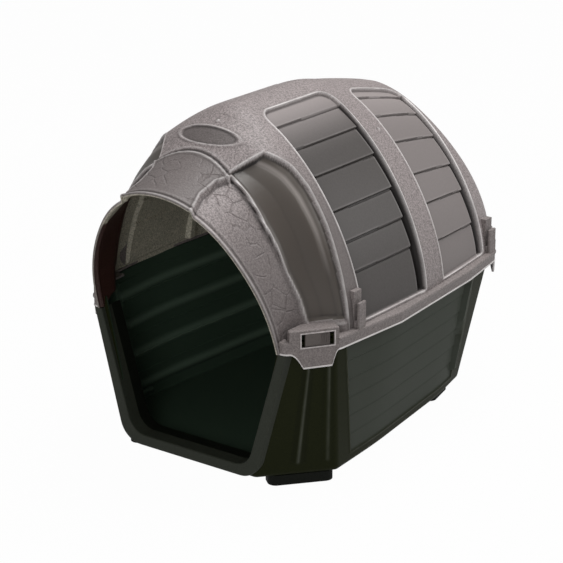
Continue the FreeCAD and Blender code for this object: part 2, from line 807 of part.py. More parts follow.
def post_ribs():
    """Two upright ribs on the right-hand front corner."""
    low_z, high_z = PANEL_LOW_Z, SHIELD_BOTTOM_Z - POST_RIB_WIDTH
    low, high = tub_outline(low_z, 0.0), tub_outline(high_z, 0.0)
    direction = side_direction(high, FRONT_CORNER_SIDE)
    ribs = []
    for share in POST_RIB_SHARES:
        ribs.append(
            sloped_rib(
                on_side(low, FRONT_CORNER_SIDE, share),
                on_side(high, FRONT_CORNER_SIDE, share),
                low_z,
                high_z,
                direction,
                POST_RIB_WIDTH,
                TUB_WALL / 2.0,
                POST_RIB_HEIGHT,
            )
        )
    return ribs


def side_fin():
    """Deep upright fin at the back end of the right-hand side panel."""
    low_z, high_z = FIN_LOW_Z, RIM_LIP_Z - SKIRT_GAP
    low, high = tub_outline(low_z, 0.0), tub_outline(high_z, 0.0)
    ends = []
    for outline, y in ((low, PANEL_END_BOTTOM_Y), (high, PANEL_END_TOP_Y)):
        start_y, end_y = outline[TAIL_SIDE][1], outline[TAIL_SIDE + 1][1]
        ends.append(on_side(outline, TAIL_SIDE, (y - start_y) / (end_y - start_y)))
    return sloped_rib(
        ends[0],
        ends[1],
        low_z,
        high_z,
        side_direction(high, TAIL_SIDE),
        FIN_THICKNESS,
        TUB_WALL,
        FIN_HEIGHT,
    )


def door_slab(top_half, low_half, low_z, radius, start_y, end_y):
    """Slab on the doorway's outline: sloping sides and rounded lower corners."""
    top_z = DOOR_FRAME_TOP_Z
    rise = (CORNER_LEDGE_Z - low_z) / (top_z - low_z)
    high_half = low_half + (top_half - low_half) * rise
    points = [
        (-high_half, CORNER_LEDGE_Z),
        (-low_half, low_z),
        (low_half, low_z),
        (high_half, CORNER_LEDGE_Z),
    ]
    face = Part.Face(plan_wire(points, 0.0, radius))
    face.rotate(Vector(0, 0, 0), Vector(1, 0, 0), 90)
    slab = face.extrude(Vector(0, end_y - start_y, 0))
    slab.translate(Vector(0, start_y, 0))
    return slab


def door_frame():
    """Flat frame round the doorway's sides and sill."""
    slab = door_slab(
        DOOR_OUTER_TOP_HALF,
        DOOR_OUTER_LOW_HALF,
        DOOR_OUTER_LOW_Z,
        DOOR_OUTER_RADIUS,
        0.0,
        DOOR_FRAME_DEPTH,
    )
    return slab.cut(upper_half_space(DOOR_FRAME_TOP_Z))


def doorway():
    """The way in through the frame and the tub's front wall."""
    return door_slab(
        DOOR_OUTER_TOP_HALF - DOOR_BORDER_TOP,
        DOOR_OUTER_LOW_HALF - DOOR_BORDER_LOW,
        DOOR_OUTER_LOW_Z + DOOR_BORDER_SILL,
        DOOR_INNER_RADIUS,
        -DOOR_FRAME_DEPTH,
        2 * DOOR_FRAME_DEPTH,
    )


def base_tub():
    """Tapered tub with its doorway frame, edge flange, side panels and keepers."""
    body = tub_solid(TUB_BOTTOM_Z, TUB_TOP_Z, 0.0, 0.0)
    flange = plan_block(
        offset_outline(whole(rim_plan()), SKIRT_INSET),
        TUB_TOP_Z - TUB_WALL,
        TUB_TOP_Z,
        RIM_RADIUS,
    )
    body = body.cut(both_sides(side_panel_tool()))
    additions = [flange, door_frame()]
    for rib in post_ribs() + [side_fin()]:
        additions += both_sides(rib)
    body = body.fuse(additions)
    floor_z = TUB_BOTTOM_Z + TUB_WALL
    hollow = tub_solid(floor_z, TUB_TOP_Z, TUB_WALL + PANEL_DEPTH, TUB_WALL + PANEL_DEPTH)
    pockets = []
    keepers = []
    for front in (True, False):
        pockets += both_sides(latch_pocket(front))
        keepers += both_sides(keeper(front))
    body = body.cut([hollow, doorway()] + pockets)
    return body.fuse(keepers).removeSplitter()


# ---------------------------------------------------------------- foot pads
def foot_pad(front):
    """Right-hand foot pad: along the tub's front corner, or along the side's tail."""
    inset = FRONT_FOOT_INSET if front else REAR_FOOT_INSET
    outline = offset_outline(whole(tub_bottom_plan()), inset)
    side = FRONT_CORNER_SIDE if front else TAIL_SIDE
    start, end = Vector(*outline[side], 0), Vector(*outline[side + 1], 0)
    direction = (end - start).normalize()
    inward = Vector(-direction.y, direction.x, 0) * FOOT_WIDTH
    start += direction * (FRONT_FOOT_MARGIN if front else REAR_FOOT_MARGIN)
    end -= direction * FOOT_END_MARGIN
    corners = [start, end, end + inward, start + inward]
    points = [(corner.x, corner.y) for corner in corners]
    return plan_block(points, 0.0, TUB_BOTTOM_Z, TUB_EDGE_RADIUS)


# ---------------------------------------------------------------- write the pieces
def placed(shape):
    """A copy moved so that the middle of the whole outline stands at the origin."""
    moved = shape.copy()
    moved.translate(Vector(0, -CENTRE_Y, 0))
    return moved


def all_nodes():
    """Every piece of the kennel, by name."""
    nodes = {"roof_shell": roof_shell(), "base_tub": base_tub()}
    for end, front in (("front", True), ("rear", False)):
        for name, shape in (("slide_latch", slide_latch(front)), ("foot_pad", foot_pad(front))):
            right, left = both_sides(shape)
            nodes[name + "_" + end + "_right"] = right
            nodes[name + "_" + end + "_left"] = left
    return nodes


os.makedirs("parts", exist_ok=True)
for node, solid in all_nodes().items():
    piece = placed(solid)
    piece.exportStep("parts/" + node + ".step")
    box = piece.BoundBox
    print(
        node,
        "valid" if piece.isValid() else "INVALID",
        len(piece.Solids),
        "solids, volume",
        round(piece.Volume / 1000.0, 1),
        "cm3, box",
        [round(v, 1) for v in (box.XMin, box.YMin, box.ZMin, box.XMax, box.YMax, box.ZMax)],
    )
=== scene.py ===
# %% [markdown]
# # A moulded kennel for a large dog
#
# The real kennel is two thin plastic mouldings: a ribbed roof that lifts off, and a
# tapered tub with a doorway. Four slide latches hold them together. This notebook
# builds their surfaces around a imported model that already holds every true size,
# joint and clearance. Loading that model comes first, because each later step reads
# its place from it.

# %% Load the frame
import math

import bmesh
import bpy
import numpy as np
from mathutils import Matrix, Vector


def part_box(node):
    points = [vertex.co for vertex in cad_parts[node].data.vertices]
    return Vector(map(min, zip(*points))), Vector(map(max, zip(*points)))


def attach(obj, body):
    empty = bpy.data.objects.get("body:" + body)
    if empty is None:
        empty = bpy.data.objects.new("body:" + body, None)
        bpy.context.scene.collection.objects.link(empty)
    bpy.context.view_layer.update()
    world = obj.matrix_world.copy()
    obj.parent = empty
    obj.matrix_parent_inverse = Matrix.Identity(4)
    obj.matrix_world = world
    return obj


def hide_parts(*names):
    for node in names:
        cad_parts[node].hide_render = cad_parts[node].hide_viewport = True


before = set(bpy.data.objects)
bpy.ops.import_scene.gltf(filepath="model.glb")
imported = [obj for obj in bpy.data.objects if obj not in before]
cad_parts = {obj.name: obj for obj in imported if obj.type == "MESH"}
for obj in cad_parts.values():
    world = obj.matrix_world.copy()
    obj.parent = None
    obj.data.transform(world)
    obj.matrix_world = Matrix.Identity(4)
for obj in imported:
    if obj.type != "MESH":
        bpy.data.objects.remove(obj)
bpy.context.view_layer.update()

print("nodes:", len(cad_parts))

# %% [markdown]
# ## The camera
#
# The photographer stood in front of the kennel, to its right and higher than the
# roof, well back with a long lens. A camera could be aimed with a tracking
# constraint, but then its roll and target hide in another object. Here its spot, its
# two angles and its lens are written down, which is what a photographer would note.

# %% Camera
CAMERA_SPOT = (1.9773, -2.8180, 1.4976)
CAMERA_TURN = math.radians(35.42)
CAMERA_DIP = math.radians(19.5)
CAMERA_LENS = 118.29

camera_data = bpy.data.cameras.new("kennel_camera")
camera_data.lens = CAMERA_LENS
camera_data.sensor_width = 36.0
camera = bpy.data.objects.new("kennel_camera", camera_data)
camera.location = CAMERA_SPOT
camera.rotation_euler = (math.pi / 2 - CAMERA_DIP, 0.0, CAMERA_TURN)
bpy.context.scene.collection.objects.link(camera)
bpy.context.scene.camera = camera
print("camera at", CAMERA_SPOT)

# %% [markdown]
# ## One drawing, one unit
#
# A toolmaker's drawing of this kennel would be in millimetres, measured back from
# the doorway. The sizes below are written that way. One function moves any set of
# points from the drawing into the frame, which is in metres with its origin under
# the kennel's middle. The doorway's plane is read from the frame itself.

# %% From the drawing to the frame
MM = 0.001
DOORWAY_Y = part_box("base_tub")[0].y
LEFT_AND_RIGHT = ((1.0, "right"), (-1.0, "left"))


def to_frame(points):
    """Points of the drawing, in millimetres, as points of the frame, in metres."""
    moved = np.asarray(points, float) * MM
    moved[..., 1] += DOORWAY_Y
    return moved


print("doorway plane at y =", round(DOORWAY_Y, 4))

# %% [markdown]
# ## Small tools for grids
#
# The large surfaces here are grids of points: along the kennel one way, round it the
# other. Blender could grow such shapes from modifiers, but a grid that is worked out
# point by point lets each rib, lap and groove sit exactly where the mould has it.
# These helpers turn grids and boxes into meshes and shade them.

# %% Grid helpers
def ramp(value, start, end):
    """Straight rise from 0 at start to 1 at end."""
    return np.clip((value - start) / (end - start), 0.0, 1.0)


def smooth_ramp(value, start, end):
    """Smooth rise from 0 at start to 1 at end."""
    t = ramp(value, start, end)
    return t * t * (3.0 - 2.0 * t)


def bump(value, middle, half_width):
    """Round bump of height 1 about a middle."""
    t = np.clip(np.abs(value - middle) / half_width, 0.0, 1.0)
    return (1.0 - t * t) ** 2


def bead(distance, size):
    """Rounded bead of (height, place, half width) along a distance."""
    height, place, half_width = size
    return height * bump(distance, place, half_width)


def unit(vectors):
    """Vectors scaled to length 1."""
    vectors = np.asarray(vectors, float)
    return vectors / np.maximum(np.linalg.norm(vectors, axis=-1, keepdims=True), 1e-9)


def grid_quads(rows, columns, first=0, wrap=False):
    """Faces of a grid of points stored row by row, and wrapped round if asked."""
    faces = []
    last = columns if wrap else columns - 1
    for i in range(rows - 1):
        for j in range(last):
            a = first + i * columns + j
            b = first + i * columns + (j + 1) % columns
            faces.append((a, b, b + columns, a + columns))
    return faces


def flipped(faces):
    """The same faces, seen from the other side."""
    return [tuple(reversed(face)) for face in faces]


def even_places(line, places, count):
    """Places along a line of points, taken again at even distances."""
    steps = np.linalg.norm(np.diff(line, axis=0), axis=1)
    travelled = np.concatenate([[0.0], np.cumsum(steps)])
    return np.interp(np.linspace(0, travelled[-1], count), travelled, places)


# Faces of a box whose corners run along x first, then y, then z.
BOX_FACES = [(0, 2, 3, 1), (4, 5, 7, 6), (0, 1, 5, 4), (2, 6, 7, 3), (0, 4, 6, 2), (1, 3, 7, 5)]
print("a box has", len(BOX_FACES), "faces")

# %% Mesh helper
SHARP_ANGLE = math.radians(32)
BEVEL_ANGLE = math.radians(30)


def add_mesh(name, points, faces, masks=None):
    """Mesh object from drawing points, with masks stored for the materials."""
    mesh = bpy.data.meshes.new(name)
    mesh.from_pydata(to_frame(points).tolist(), [], faces)
    for mask, values in (masks or {}).items():
        layer = mesh.attributes.new(mask, "FLOAT", "POINT")
        layer.data.foreach_set("value", np.asarray(values, np.float32).ravel())
    mesh.validate()
    mesh.shade_smooth()
    mesh.set_sharp_from_angle(angle=SHARP_ANGLE)
    piece = bpy.data.objects.new(name, mesh)
    bpy.context.scene.collection.objects.link(piece)
    return piece


def add_bevel(piece, width, segments=3):
    """Round the sharp edges of a piece, in millimetres."""
    bevel = piece.modifiers.new("edge_radius", "BEVEL")
    bevel.width = width * MM
    bevel.segments = segments
    bevel.limit_method = "ANGLE"
    bevel.angle_limit = BEVEL_ANGLE
    return piece


print("edges are sharp from", round(math.degrees(SHARP_ANGLE)), "degrees")

# %% [markdown]
# ## The roof's arches
#
# The mould of the roof is a row of arches, each a superellipse: its roundness says
# how square or how pointed it is. The hood's mouth leans forward, the brow rises
# behind it, and the tail falls away. Between the arches a cubic that never
# overshoots gives a fair surface. A handful of arches is enough to describe it, as
# the stations of a boat's hull do.

# %% Plan of the rim
RIM_PLAN = [(222, 0), (283, 83), (301, 262), (287, 538), (268, 672), (208, 762)]
RIM_TOP_Z = 306.0
RIM_LIP_Z = 281.0
SHELF_WIDTH = 10.0
ARCH_BASE_Z = 307.0
CORNER_LEDGE_Z = 326.0


def rim_half(y):
    """Half width of the rim at a distance behind the doorway."""
    xs, ys = np.array(RIM_PLAN, float).T
    return np.interp(y, ys, xs)


def shelf_half(y):
    """Half width at the foot of the dome, inside the rim's shelf."""
    return float(rim_half(y)) - SHELF_WIDTH


print("widest rim", 2 * max(x for x, _ in RIM_PLAN), "mm")

# %% Arch table
# half width, foot y, foot z, crown y, crown z, roundness
ARCHES = np.array([
    (211.0, 0, 268, -86, 560, 2.10),
    (214.0, 40, ARCH_BASE_Z, 20, 604, 2.05),
    (shelf_half(112), 112, ARCH_BASE_Z, 95, 655, 1.85),
    (shelf_half(160), 160, ARCH_BASE_Z, 160, 680, 1.62),
    (shelf_half(350), 350, ARCH_BASE_Z, 350, 680, 1.62),
    (shelf_half(440), 440, ARCH_BASE_Z, 440, 668, 1.62),
    (shelf_half(590), 590, ARCH_BASE_Z, 590, 638, 1.62),
    (shelf_half(640), 640, ARCH_BASE_Z, 640, 622, 1.62),
    (shelf_half(700), 700, ARCH_BASE_Z, 700, 540, 1.90),
    (shelf_half(746), 746, ARCH_BASE_Z, 746, 430, 1.90),
])
print(len(ARCHES), "arches")


# %% Between the arches
def steady_slopes(values):
    """Slopes through a column of values that never overshoot."""
    rises = np.diff(values)
    slopes = [rises[0]]
    for before, after in zip(rises, rises[1:]):
        turning = before * after <= 0
        slopes.append(0.0 if turning else 2 * before * after / (before + after))
    slopes.append(rises[-1])
    return np.array(slopes)


def arches_at(positions):
    """Arches at positions along the table: 0 is the mouth, 1 the crease and so on."""
    positions = np.asarray(positions, float)
    index = np.clip(positions.astype(int), 0, len(ARCHES) - 2)
    t = positions - index
    columns = []
    for values in ARCHES.T:
        slopes = steady_slopes(values)
        low, high = values[index], values[index + 1]
        columns.append(
            low * (2 * t**3 - 3 * t**2 + 1)
            + high * (3 * t**2 - 2 * t**3)
            + slopes[index] * (t**3 - 2 * t**2 + t)
            + slopes[index + 1] * (t**3 - t**2)
        )
    return np.array(columns).T


def arch_points(arches, angles):
    """Points at angles on each arch; angle 0 is the right foot, pi the left one."""
    half, foot_y, foot_z, crown_y, crown_z, roundness = (c[:, None] for c in arches.T)
    rise = np.abs(np.sin(angles)) ** (2.0 / roundness)
    across = np.abs(np.cos(angles)) ** (2.0 / roundness) * np.sign(np.cos(angles))
    x = half * across
    y = foot_y + (crown_y - foot_y) * rise
    z = foot_z + (crown_z - foot_z) * rise
    return np.stack([x, y, z], axis=-1)


print("steepest rise of the crown:", round(float(steady_slopes(ARCHES[:, 4]).max())), "mm an arch")

# %% [markdown]
# ## A fine, even net over the dome
#
# The net needs cells of about two and a half millimetres, so that a lap's edge
# reads as an edge. Equal steps of angle would bunch up at the crown and the feet, so
# the angles are spaced by distance along each arch, and the arches by distance along
# the flank. The lowest line of the net starts where the rim takes over.

# %% Net over the dome
NET_ROWS = 380
NET_COLUMNS = 470
HOOD_FOOT_Z = 283.0
FLANK_ANGLE = math.radians(45)
FINE_ARCHES = 2000
FINE_ANGLES = 1200


def even_positions(count):
    """Positions along the arches, evenly spaced along the roof's flank."""
    fine = np.linspace(0, len(ARCHES) - 1, FINE_ARCHES)
    line = arch_points(arches_at(fine), np.full((len(fine), 1), FLANK_ANGLE))[:, 0]
    return even_places(line, fine, count)


def even_angles(arch, count):
    """Angles on one arch, foot to foot, evenly spaced along it."""
    half, foot_y, foot_z, crown_y, crown_z, roundness = arch
    low_share = max(HOOD_FOOT_Z - foot_z, 0.0) / (crown_z - foot_z)
    first = math.asin(low_share ** (roundness / 2.0))
    fine = np.linspace(first, math.pi - first, FINE_ANGLES)
    line = arch_points(arch[None, :], fine[None, :])[0]
    return even_places(line, fine, count)


positions = even_positions(NET_ROWS)
net_arches = arches_at(positions)
net_angles = np.array([even_angles(arch, NET_COLUMNS) for arch in net_arches])
net = arch_points(net_arches, net_angles)
print("net of", net.shape[0], "by", net.shape[1], "points")

# %% Directions and distances on the net
def net_normals(points):
    """Outward directions on a net."""
    along = np.gradient(points, axis=0)
    across = np.gradient(points, axis=1)
    return unit(np.cross(along, across))


def arc_from_crown(points):
    """Distance along each arch from its crown, in millimetres."""
    steps = np.linalg.norm(np.diff(points, axis=1), axis=2)
    travelled = np.concatenate([np.zeros((len(points), 1)), np.cumsum(steps, axis=1)], 1)
    return np.abs(travelled - travelled[:, -1:] / 2.0)


normals = net_normals(net)
if normals[NET_ROWS // 2, NET_COLUMNS // 2, 2] < 0:
    normals = -normals
from_crown = arc_from_crown(net)
from_mouth = np.concatenate(
    [np.zeros((1, NET_COLUMNS)), np.cumsum(np.linalg.norm(np.diff(net, axis=0), axis=2), 0)]
)
side_x = np.abs(net[..., 0])
net_y = net[..., 1]
net_z = net[..., 2]
foot_angle = np.degrees(np.minimum(net_angles, math.pi - net_angles))
print("longest arch", round(float(from_crown.max() * 2)), "mm")

# %% [markdown]
# ## The bays and their planks
#
# Each flank has two sunk bays between the ribs, filled with planks that overlap
# like boards on a shed. They are part of the moulding, so they are relief on the
# net and not separate boards. The depth of each point is worked out from its
# distance to the bay's edge. At the back of each bay the plank ends stop short of
# the rib in steps and leave a deep slot, coloured near black as painted shade. The
# planks carry painted shade: darker near the rim than near the crown, more so in the
# front bay, so that share is worked out here too.

# %% Bay sizes
BAY_DEPTH = 8.0
BAY_WALL = 3.0
BAY_SPINE = 52.0
BAY_CORNER = 30.0
BAY_FOOT_Z = 311.0
PLANK_LAP = 3.0
CRACK_DEPTH = 1.6
CRACK_SPAN = (-2.8, 0.4)
TOP_LINE = 84.0
SLOT_DEPTH = 17.0
SLOT_STEP = 2.0
SLOT_EDGE = 0.3
BAY_BEAD = (1.1, -1.5, 3.5)
BAYS = [
    {"start": 160.0, "end": 372.0, "lines": (19, 28, 37, 48, 57.8, 67.5)},
    {"start": 444.0, "end": 626.0, "lines": (17, 29.4, 39, 50.3, 61, 71)},
]
SLOT_WIDTHS = (21.0, 19.0, 15.0, 11.0, 8.0, 4.0, 0.0)
print(len(BAYS), "bays on each flank, of", len(SLOT_WIDTHS), "planks each")

# %% Bay relief
def inside_bay(bay):
    """Distance inside a bay's edge, negative outside it."""
    across = np.minimum(net_y - bay["start"], bay["end"] - net_y)
    down = from_crown - BAY_SPINE
    near = np.minimum(across, down)
    corner = BAY_CORNER - np.hypot(
        np.maximum(BAY_CORNER - across, 0.0), np.maximum(BAY_CORNER - down, 0.0)
    )
    rounded = np.where((across < BAY_CORNER) & (down < BAY_CORNER), corner, near)
    return np.minimum(rounded, net_z - BAY_FOOT_Z)


def line_distances(angle):
    """How far every point lies above a line of constant angle, along its arch."""
    places = []
    middle = NET_COLUMNS // 2
    for row in range(NET_ROWS):
        right_angles = foot_angle[row, :middle]
        places.append(np.interp(angle, right_angles, from_crown[row, :middle]))
    return np.array(places)[:, None] - from_crown


def bay_relief(bay):
    """Depth of a bay, its planks and its slot, and where the slot is."""
    inside = inside_bay(bay)
    sunk = ramp(inside, 0.0, BAY_WALL)
    above = [line_distances(angle) for angle in bay["lines"]]
    plank = sum((distance > 0).astype(int) for distance in above)
    below_foot = line_distances(0.0)
    edges = np.stack([below_foot] + above + [line_distances(TOP_LINE)])
    low = np.take_along_axis(edges, plank[None], 0)[0]
    high = np.take_along_axis(edges, plank[None] + 1, 0)[0]
    share = low / np.maximum(low - high, 1.0)
    depth = BAY_DEPTH - PLANK_LAP * (1.0 - share)
    for distance in above:
        depth = depth + CRACK_DEPTH * ((distance > CRACK_SPAN[0]) & (distance < CRACK_SPAN[1]))
    widths = np.array(SLOT_WIDTHS)[plank]
    slot = ramp(net_y - (bay["end"] - widths), 0.0, SLOT_STEP) * (widths > 0)
    depth = depth + (SLOT_DEPTH - depth) * slot
    edge = bead(inside, BAY_BEAD) * (net_z > BAY_FOOT_Z)
    return depth * sunk - edge, sunk, slot * (inside > SLOT_EDGE)


print("bay relief ready")

# %% Bays and plank shade
PLANK_SHADE_FROM = 82.0
PLANK_SHADE_OVER = 30.0
REAR_BAY_PALER = 0.55

bay_parts = [bay_relief(bay) for bay in BAYS]
bay_depth = sum(part[0] for part in bay_parts)
bay_mask = sum(part[1] for part in bay_parts)
slot_mask = sum(part[2] for part in bay_parts)
# Painted shade: the planks darken from the crown down towards the rim, less in the rear bay.
plank_painted_shade = smooth_ramp(PLANK_SHADE_FROM - foot_angle, 0.0, PLANK_SHADE_OVER)
plank_painted_shade = plank_painted_shade * (1.0 - REAR_BAY_PALER * (net_y > BAYS[0]["end"]))
print("deepest bay point", round(float(bay_depth.max()), 1), "mm")

# %% [markdown]
# ## The crescent channel
#
# Between the hood and the first rib the roof dips into a smooth crescent, deepest
# behind its middle and closed by a low wall at the rib. A boolean cut would leave hard
# walls all round. Here the dip is a curve from edge to edge, so that light slides
# down it the way it does on the real moulding.

# %% Channel sizes
# (angles above the foot in degrees, distances behind the doorway in millimetres)
HOOD_REAR = ((0, 12, 22, 32, 42, 66, 90), (62, 51, 37, 32, 26, 27, 30))
RIB_FRONT = ((0, 14, 24, 34.5, 46, 54, 59, 64, 90), (119, 117, 119, 126, 129, 120, 107, 93, 93))
CHANNEL_TOP = ((30, 93), (68.5, 64.5))
CHANNEL_PROFILE = (
    (0.0, 0.10, 0.35, 0.68, 0.90, 0.93, 1.0),
    (0.0, 6.5, 11.5, 12.5, 7.5, 7.0, 0.0),
)
CHANNEL_FOOT_Z = (322.0, 336.0)
CHANNEL_TOP_WALL = 5.0
CHANNEL_SPAN = (0.02, 0.95)
DEGREE_OF_ARC = 5.6
RIB_BEAD = (1.1, 2.0, 3.5)
RIB_BEAD_TOP = 64.0
TOP_BEAD = (1.1, -3.0, 4.0)
TOP_BEAD_Y = (26.0, 97.0)
print("channel from", len(HOOD_REAR[0]), "places on the hood to", len(RIB_FRONT[0]), "on the rib")

# %% Channel relief
hood_rear_y = np.interp(foot_angle, *HOOD_REAR)
rib_front_y = np.interp(foot_angle, *RIB_FRONT)
channel_share = (net_y - hood_rear_y) / (rib_front_y - hood_rear_y)
top_distance = (np.interp(net_y, *CHANNEL_TOP) - foot_angle) * DEGREE_OF_ARC
channel_closes = ramp(top_distance, 0.0, CHANNEL_TOP_WALL) * ramp(net_z, *CHANNEL_FOOT_Z)
in_channel = (channel_share > CHANNEL_SPAN[0]) & (channel_share < CHANNEL_SPAN[1])
channel_mask = in_channel * (channel_closes > 0.5)
rib_edge = bead(net_y - rib_front_y, RIB_BEAD) * (foot_angle < RIB_BEAD_TOP)
top_edge = bead(top_distance, TOP_BEAD) * (net_y > TOP_BEAD_Y[0]) * (net_y < TOP_BEAD_Y[1])
channel_depth = np.interp(channel_share, *CHANNEL_PROFILE) * channel_closes
channel_depth = channel_depth - rib_edge - top_edge
print("channel depth", round(float(channel_depth.max()), 1), "mm")

# %% [markdown]
# ## The hood and the brow
#
# The hood is made of three facets: a raised keystone in the middle and one facet on
# each side. A double bead stiffens the edge of its mouth. Behind a crease the brow
# carries a bare oval recess, with a raised border and a darker floor. All of them could
# be sculpted, but a mould's lines are even, so each is a bead or a step along a line.

# %% Hood sizes
KEYSTONE_EDGE = ((-86, -40, 0, 30), (80, 68, 72, 88))
KEYSTONE_STEP = 9.0
KEYSTONE_WALL = 7.0
KEYSTONE_BEAD = (1.8, -2.0, 4.0)
KEYSTONE_REAR_Y = 30.0
FACET_FOOT_SHARE = 0.35
FACET_DEEPENS = (12.0, 45.0)
FACET_BEAD = (1.6, -2.0, 4.0)
FACET_TOP = 66.0
FACET_FADE = 3.0
CREASE_Y = 38.0
CREASE_BOW = 0.0016
CREASE_HALF = 96.0
CREASE_FADE = 6.0
CREASE_BEAD = (2.8, 0.0, 4.0)
CREASE_GROOVE = (1.5, -5.5, 3.5)
MOUTH_BEAD = (3.0, 3.0, 5.5)
MOUTH_GROOVE = (1.3, 11.0, 3.0)
print("keystone stands", KEYSTONE_STEP, "mm above its facets")

# %% Hood relief
beside = side_x - np.interp(net_y, *KEYSTONE_EDGE)
on_hood = ramp(hood_rear_y - net_y, -1.0, 1.0)
facet_share = (1.0 - FACET_FOOT_SHARE) * smooth_ramp(foot_angle, *FACET_DEEPENS)
facet_share = FACET_FOOT_SHARE + facet_share
facet_depth = KEYSTONE_STEP * facet_share * ramp(beside, 0.0, KEYSTONE_WALL) * on_hood
keystone_rim = bead(beside, KEYSTONE_BEAD) * (net_y < KEYSTONE_REAR_Y)
crease_y = CREASE_Y - CREASE_BOW * side_x**2
crease_line = bead(net_y - crease_y, CREASE_BEAD) - bead(net_y - crease_y, CREASE_GROOVE)
crease_line = crease_line * ramp(CREASE_HALF - side_x, 0.0, CREASE_FADE)
facet_fade = ramp(FACET_TOP - foot_angle, 0.0, FACET_FADE)
facet_edge = bead(net_y - hood_rear_y, FACET_BEAD) * facet_fade
mouth_edge = bead(from_mouth, MOUTH_BEAD) - bead(from_mouth, MOUTH_GROOVE)
hood_depth = facet_depth - keystone_rim + crease_line - facet_edge - mouth_edge
print("hood relief up to", round(float(hood_depth.max()), 1), "mm")

# %% Oval recess and pips
OVAL_MIDDLE_Y = 68.0
OVAL_HALF = (66.0, 17.0)
OVAL_BEND = 0.0022
OVAL_DEPTH = 1.6
OVAL_BEAD = (1.4, 1.02, 0.13)
OVAL_WALL = (0.02, 0.12)
BROW_Z = 500.0
PIPS = ((4.0, 98.0), (142.0, 422.0), (-142.0, 422.0))
PIP_SIZE = (2.6, 0.0, 5.5)

net_x = net[..., 0]
oval_y = (net_y - OVAL_MIDDLE_Y - OVAL_BEND * net_x**2) / OVAL_HALF[1]
oval_share = np.hypot(net_x / OVAL_HALF[0], oval_y)
oval_share = np.where(net_z > BROW_Z, oval_share, np.inf)
oval_floor = ramp(1.0 - oval_share, *OVAL_WALL)
oval_depth = OVAL_DEPTH * oval_floor - bead(oval_share, OVAL_BEAD)
pip_height = sum(bead(np.hypot(net_x - x, net_y - y), PIP_SIZE) for x, y in PIPS)
relief = bay_depth + channel_depth + hood_depth + oval_depth - pip_height
print("relief from", round(float(relief.min()), 1), "to", round(float(relief.max()), 1), "mm")

# %% [markdown]
# ## The roof as a closed shell
#
# A solidify modifier would give the shell its wall, but it thickens along averaged
# directions and tears at steep laps. Here the inner skin is its own net, with the
# same relief pushed one wall further in, so the bays bulge into the cabin as they do
# on the real roof. Only the deep slots are held back inside, where the wall is thinner.
# The two skins are joined round the mouth, the feet and the back.

# %% Shell skins
ROOF_WALL = 4.0
DEEPEST_INSIDE = 15.5
LEG_DROP = 6.0
BACK_RADIUS = 14.0
BACK_ROWS = 5


def with_legs(skin):
    """A skin with one more column at each foot, which reaches down into the rim."""
    foot = skin[:, [0]].copy()
    other = skin[:, [-1]].copy()
    for leg in (foot, other):
        leg[..., 2] = np.maximum(leg[..., 2] - LEG_DROP, HOOD_FOOT_Z - 1.0)
    return np.concatenate([foot, skin, other], axis=1)


def with_rounded_back(skin, radius):
    """A skin whose last arch is rolled inwards, to meet the flat back."""
    last = skin[-1]
    middle = np.array([0.0, last[0, 1], ARCH_BASE_Z])
    inward = unit(middle - last)
    inward[:, 1] = 0.0
    rows = []
    for step in range(1, BACK_ROWS + 1):
        turn = math.pi / 2 * step / BACK_ROWS
        shift = inward * radius * (1 - math.cos(turn))
        shift[:, 1] = radius * math.sin(turn) - radius
        rows.append(last + shift)
    skin = skin.copy()
    skin[..., 1] -= radius * smooth_ramp(skin[..., 1], last[0, 1] - 4 * radius, last[0, 1])
    return np.concatenate([skin, np.array(rows)], axis=0)


def cap_faces(first, columns):
    """Faces that close the last row of a skin, from side to side."""
    faces = []
    for j in range(columns // 2 - 1):
        a, b = first + j, first + columns - 1 - j
        faces.append((a, a + 1, b - 1, b) if b - 1 > a + 1 else (a, a + 1, b))
    return faces


outer_skin = with_rounded_back(with_legs(net - normals * relief[..., None]), BACK_RADIUS)
inner_relief = np.minimum(relief, DEEPEST_INSIDE) + ROOF_WALL
inner_skin = with_rounded_back(with_legs(net - normals * inner_relief[..., None]), BACK_RADIUS)
inner_skin[..., 1] = np.minimum(inner_skin[..., 1], outer_skin[-1, 0, 1] - ROOF_WALL)
print("skins of", outer_skin.shape[:2])

# %% Masks for the finishes
def spread(values, reach):
    """Average of a net's values over a square of cells."""
    padded = np.pad(values, reach, mode="edge")
    sides = range(2 * reach + 1)
    rows, columns = values.shape
    total = sum(padded[i : i + rows, j : j + columns] for i in sides for j in sides)
    return total / (2 * reach + 1) ** 2


def fitted(values):
    """A net's values, carried over to a skin with its legs and rounded back."""
    return np.pad(values.astype(float), ((0, BACK_ROWS), (1, 1)), mode="edge")


print("masks go from", net.shape[:2], "to", fitted(relief).shape)

# %% Mask sizes
# Angles are degrees above the foot, and the rest is in millimetres or shares of 1. The
# softness is for raised and for sunk seams, and the sheen's band is a middle and a half
# width. Every other pair says where a tone starts and where it is full.
EDGE_REACH = 2
EDGE_RISE = 2.5
SEAM_SOFTNESS = (0.85, 0.55)
PLANK_SMOOTH = 0.94
# The SHADE values and KEYSTONE_SHADE place painted shade on the lower front flank, the hood and
# the keystone.
SHADE_ANGLES = (66.0, 31.0)
SHADE_DEPTHS = (215.0, 155.0)
SHADE_EDGE = 2.0
HOOD_SHADE = 0.70
KEYSTONE_SHADE = 0.9
CRACKLE_REAR = (2.0, 12.0)
CRACKLE_MOUTH = (13.0, 20.0)
# The SHEEN values place a painted highlight along the channel.
SHEEN_BAND = (0.72, 0.11)
SHEEN_ANGLES = (18.0, 34.0)
# The HOOD_INSIDE_PAINTED_SHADE values place painted shade inside the hood.
HOOD_INSIDE_ANGLES = (46.0, 44.0)
HOOD_INSIDE_DEPTHS = (62.0, 60.0)
print("front shade reaches", SHADE_DEPTHS[0], "mm behind the doorway")
